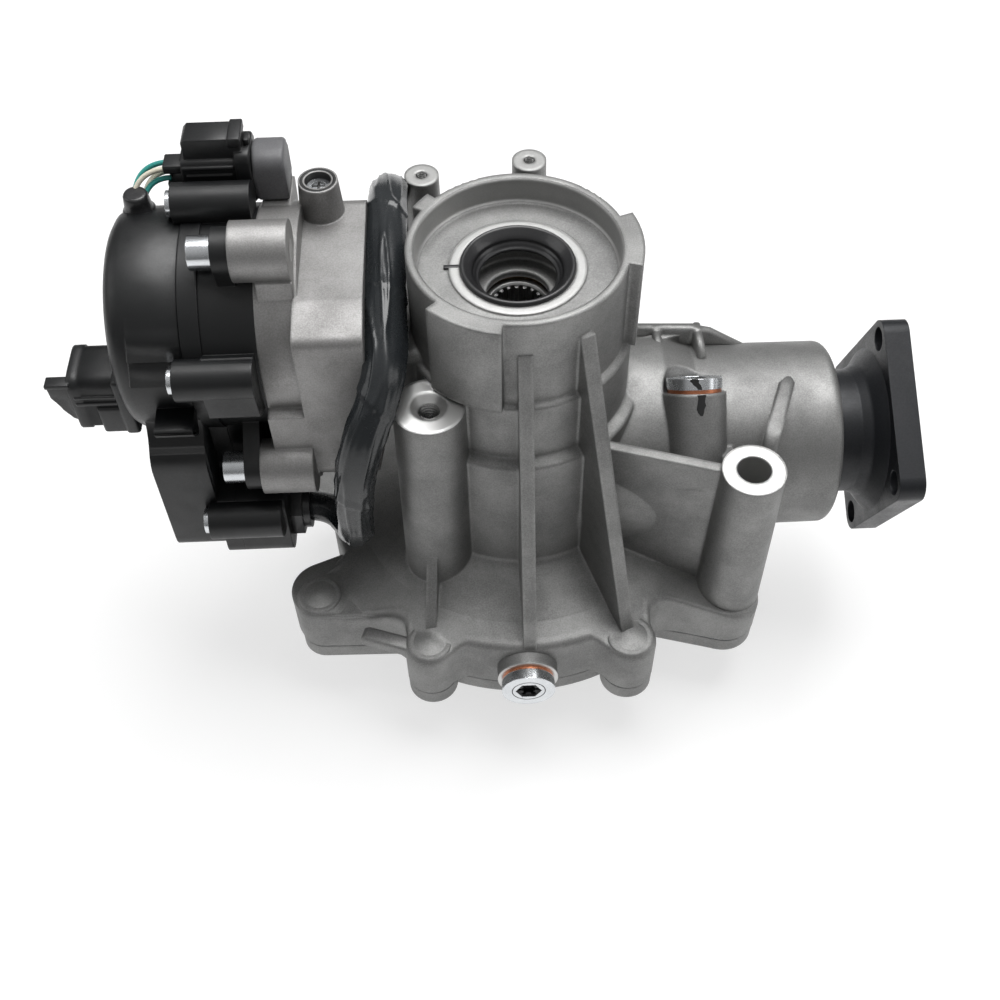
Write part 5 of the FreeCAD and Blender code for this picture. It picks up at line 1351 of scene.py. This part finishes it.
@dataclass
class TapedLoom:
    """Wiring loom from the gear case over the adapter housing, wrapped in glossy tape."""

    route: tuple[Point, ...] = (
        (-100.5, -24.0, -9.0), (-84.0, -24.0, -9.0), (-73.0, -38.0, -10.0), (-70.0, -53.0, 8.0),
        (-68.5, -56.0, 36.0), (-64.0, -54.5, 62.0), (-51.1, -40.0, 86.0), (-51.25, -14.0, 96.0),
        (-51.25, 22.0, 100.0), (-52.0, 56.0, 98.0), (-53.0, 83.0, 80.0), (-54.0, 95.0, 48.0),
        (-54.0, 95.0, 20.0))
    half_wide: float = 8.1
    half_thin: float = 6.1
    end_radius: float = 6.9
    lap: float = 46.0
    ridge: float = 0.5
    wrap_starts: tuple[float, float] = (14.0, 26.0)
    wrap_ends: tuple[float, float] = (322.0, 16.0)
    lump: float = 1.5
    drift: float = 0.8
    fold: float = 0.9
    sides: int = 72

    def build(self, shop: Workshop) -> Piece:
        """Builds the wrapped loom in place of its plain solid.

        Args:
            shop: Gives the tape's finish.

        Returns:
            The loom.
        """
        line = smooth_line(self.route, 30)
        mesh = bmesh.new()
        rows = []
        side = Y_AXIS.copy()
        walked = 0.0
        for i, here in enumerate(line):
            ahead = (line[min(i + 1, len(line) - 1)] - line[max(i - 1, 0)]).normalized()
            side = (side - ahead * side.dot(ahead)).normalized()
            across = ahead.cross(side)
            walked += (here - line[i - 1]).length / MM if i else 0.0
            row = []
            for k in range(self.sides):
                angle = math.tau * k / self.sides
                out = side * math.cos(angle) + across * math.sin(angle)
                row.append(here + out * self.reach(out, ahead, walked, angle) * MM)
            rows.append(row)
        verts = add_rows(mesh, rows)
        for end in (verts[0], verts[-1]):
            mesh.faces.new(end)
        loom = shop.piece("taped_loom_wrap", mesh, Finish.TAPE)
        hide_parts("taped_loom")
        return loom

    def reach(self, out: Vector, ahead: Vector, walked: float, angle: float) -> float:
        """Distance of the sleeve's surface from the line, in millimetres.

        Args:
            out: Direction from the line.
            ahead: Direction of the line.
            walked: Length of line up to there, in millimetres.
            angle: Direction round the line.

        Returns:
            The distance, with the sleeve's flat section, laps, lumps and folds.
        """
        (first, rise), (last, fall) = self.wrap_starts, self.wrap_ends
        flat = min(1.0, max(0.0, (walked - first) / rise)) * min(1.0, max(0.0, (last - walked) / fall))
        sideways = abs((X_AXIS - ahead * ahead.x).normalized().dot(out)) if abs(ahead.x) < 0.98 else 0.5
        oval = 1.0 / math.sqrt((sideways / self.half_wide) ** 2 + (1 - sideways ** 2) / self.half_thin ** 2)
        base = self.end_radius + (oval - self.end_radius) * flat
        round_x, round_y = math.cos(angle), math.sin(angle)
        turn = (walked / self.lap + 0.35 * angle / math.tau) % 1.0
        lap = self.ridge * max(0.0, 1.0 - turn * 9.0)
        lump = noise.noise(Vector((walked * 0.024, round_x * 0.6, round_y * 0.6))) * self.lump
        drift = noise.noise(Vector((walked * 0.02, 7.0, 3.0))) * self.drift
        fold = noise.noise(Vector((walked * 0.016 + 5.0, round_x * 1.5 + drift, round_y * 1.5)))
        sharp = max(0.0, 1.0 - abs(fold) * 3.2) ** 2 * self.fold
        return base - 0.5 + lap + (lump + sharp) * (0.35 + 0.65 * flat)


@dataclass
class SensorLead:
    """Four short wires from the sensor plug down into the boot on the motor cap."""

    plug: Point = (-134.5, 44.2, 121.5)
    boot: Point = (-148.0, 34.0, 111.0)
    plug_circle: float = 3.0
    boot_circle: float = 2.8
    radius: float = 1.05
    colours: tuple[Finish, ...] = (Finish.WIRE_TEAL, Finish.WIRE_CREAM, Finish.WIRE_TEAL, Finish.WIRE_CREAM)

    def build(self, shop: Workshop) -> list[Piece]:
        """Builds the wires in place of their plain solids.

        Args:
            shop: Gives the wires' finishes.

        Returns:
            The wires.
        """
        wires = []
        for i, colour in enumerate(self.colours):
            angle = math.tau * (i + 0.5) / len(self.colours)
            side, up = math.cos(angle), math.sin(angle)
            y, z = self.plug[1] + self.plug_circle * side, self.plug[2] + self.plug_circle * up
            x, y_end = self.boot[0] - self.boot_circle * up, self.boot[1] + self.boot_circle * side
            points = [(self.plug[0], y, z), (x, y, z), (x, y_end, self.boot[2])]
            curve = cord_curve(f"sensor_wire_{i}", points, 20)
            curve.bevel_depth = self.radius * MM
            curve.bevel_resolution = 5
            curve.use_fill_caps = True
            wire = stand(curve.name, curve)
            shop.dress(wire, colour)
            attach(wire, "housing")
            wires.append(wire)
            LOG.info("built %s", wire.name)
        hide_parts("lead_wires")
        return wires


# Light, floor and camera
@dataclass
class Studio:
    """Plain pale floor, soft light and the camera at the photograph's angle."""

    floor_half: float = 3.0
    floor_colour: Colour = (0.42, 0.42, 0.42)
    floor_glow: float = 0.62
    sky_glow: tuple[float, float] = (0.07, 0.48)
    camera_at: Point = (-0.017966, -0.363193, 0.535131)
    pitch: float = 52.5
    yaw: float = 1.5
    roll: float = -1.0
    lens: float = 45.0
    lamps: tuple[tuple[str, Point, Point, float, float], ...] = (
        ("top_softbox", (0.15, 0.34, 1.4), (0.0, 0.0, 0.1), 1.0, 21.0),
        ("left_softbox", (-1.3, 0.1, 0.9), (-0.02, 0.0, 0.12), 0.9, 2.6),
        ("right_softbox", (1.3, -0.2, 0.7), (0.02, 0.0, 0.1), 0.8, 3.0),
    )

    def build(self) -> None:
        """Builds the floor, world, lamps and camera."""
        self.build_floor()
        self.build_world()
        for name, place, target, size, power in self.lamps:
            self.build_lamp(name, Vector(place), Vector(target), size, power)
        self.build_camera()
        scene = bpy.context.scene
        scene.view_settings.view_transform = "Standard"
        LOG.info("built the studio")

    def build_floor(self) -> None:
        """Builds the floor, which looks white to the camera and keeps the part's shadow."""
        mesh = bmesh.new()
        bmesh.ops.create_grid(mesh, x_segments=2, y_segments=2, size=self.floor_half)
        data = bpy.data.meshes.new("studio_floor")
        mesh.to_mesh(data)
        mesh.free()
        floor = stand("studio_floor", data)
        material, g, shader = new_material("studio_floor")
        look = {"Base Color": rgba(self.floor_colour), "Roughness": 0.9, "Specular IOR Level": 0.1,
                "Emission Color": (1, 1, 1, 1), "Emission Strength": self.seen(g, self.floor_glow)}
        for name, value in look.items():
            g.feed(shader.inputs[name], value)
        data.materials.append(material)

    def seen(self, g: Graph, strength: float) -> Socket:
        """Strength that only rays from the camera, or by way of gloss or glass, meet.

        Args:
            g: The floor's graph.
            strength: Strength for those rays.

        Returns:
            The strength's socket.
        """
        rays = g.add("ShaderNodeLightPath").outputs
        shown = g.math("MAXIMUM", rays["Is Camera Ray"],
                       g.math("MAXIMUM", rays["Is Glossy Ray"], rays["Is Transmission Ray"]))
        return g.math("MULTIPLY", shown, strength)

    def build_world(self) -> None:
        """Builds a soft surround that is brighter overhead, and white to the camera."""
        world = bpy.data.worlds.new("studio")
        bpy.context.scene.world = world
        world.use_nodes = True
        world.node_tree.nodes.clear()
        g = Graph(world.node_tree)
        up = g.add("ShaderNodeSeparateXYZ", {0: g.add("ShaderNodeTexCoord").outputs["Generated"]})
        glow = g.span(up.outputs["Z"], -0.1, 0.9, *self.sky_glow)
        rays = g.add("ShaderNodeLightPath").outputs
        strength = g.mix(rays["Is Camera Ray"], glow, 1.0)
        background = g.add("ShaderNodeBackground", {"Color": (1, 1, 1, 1), "Strength": strength})
        g.add("ShaderNodeOutputWorld", {"Surface": background.outputs[0]})

    def build_lamp(self, name: str, place: Vector, target: Vector, size: float, power: float) -> None:
        """Builds one square softbox aimed at a point.

        Args:
            name: Name of the lamp.
            place: Where it stands, in metres.
            target: Where it points.
            size: Length of its side.
            power: Its power in watts.
        """
        data = bpy.data.lights.new(name, "AREA")
        data.size = size
        data.energy = power
        turn = (place - target).to_track_quat("Z", "Y").to_matrix().to_4x4()
        stand(name, data).matrix_world = Matrix.Translation(place) @ turn

    def build_camera(self) -> None:
        """Builds the camera where the photograph was taken from."""
        pitch, yaw, roll = (math.radians(a) for a in (self.pitch, self.yaw, self.roll))
        ahead = Vector((math.sin(yaw) * math.cos(pitch), math.cos(yaw) * math.cos(pitch), -math.sin(pitch)))
        right = Vector((math.cos(yaw), -math.sin(yaw), 0.0))
        up = right.cross(ahead)
        turned_right = right * math.cos(roll) + up * math.sin(roll)
        turned_up = up * math.cos(roll) - right * math.sin(roll)
        data = bpy.data.cameras.new("photo_camera")
        data.lens = self.lens
        data.sensor_width = 36.0
        data.clip_start = 0.01
        camera = stand("photo_camera", data)
        frame_of = Matrix((turned_right, turned_up, -ahead)).transposed().to_4x4()
        camera.matrix_world = Matrix.Translation(Vector(self.camera_at)) @ frame_of
        bpy.context.scene.camera = camera


def main() -> None:
    """Builds the dressed part piece by piece."""
    logging.basicConfig(level=logging.INFO, format="%(name)s: %(message)s")
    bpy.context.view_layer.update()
    Studio().build()
    shop = Workshop(Effects.build())
    for which, nodes in DRESS.items():
        for node in nodes:
            shop.dress(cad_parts[node], which)
    LOG.info("dressed the packed nodes")
    for part in (CaseSkirt(), CaseForms(), Threads(), LipSeal(), PlugDetail(), PowerSocket(), MotorCap(),
                 SensorConnector(), WireBoot(), ScrewMarks(), TapedLoom(), SensorLead()):
        part.build(shop)


if __name__ == "__main__":
    main()
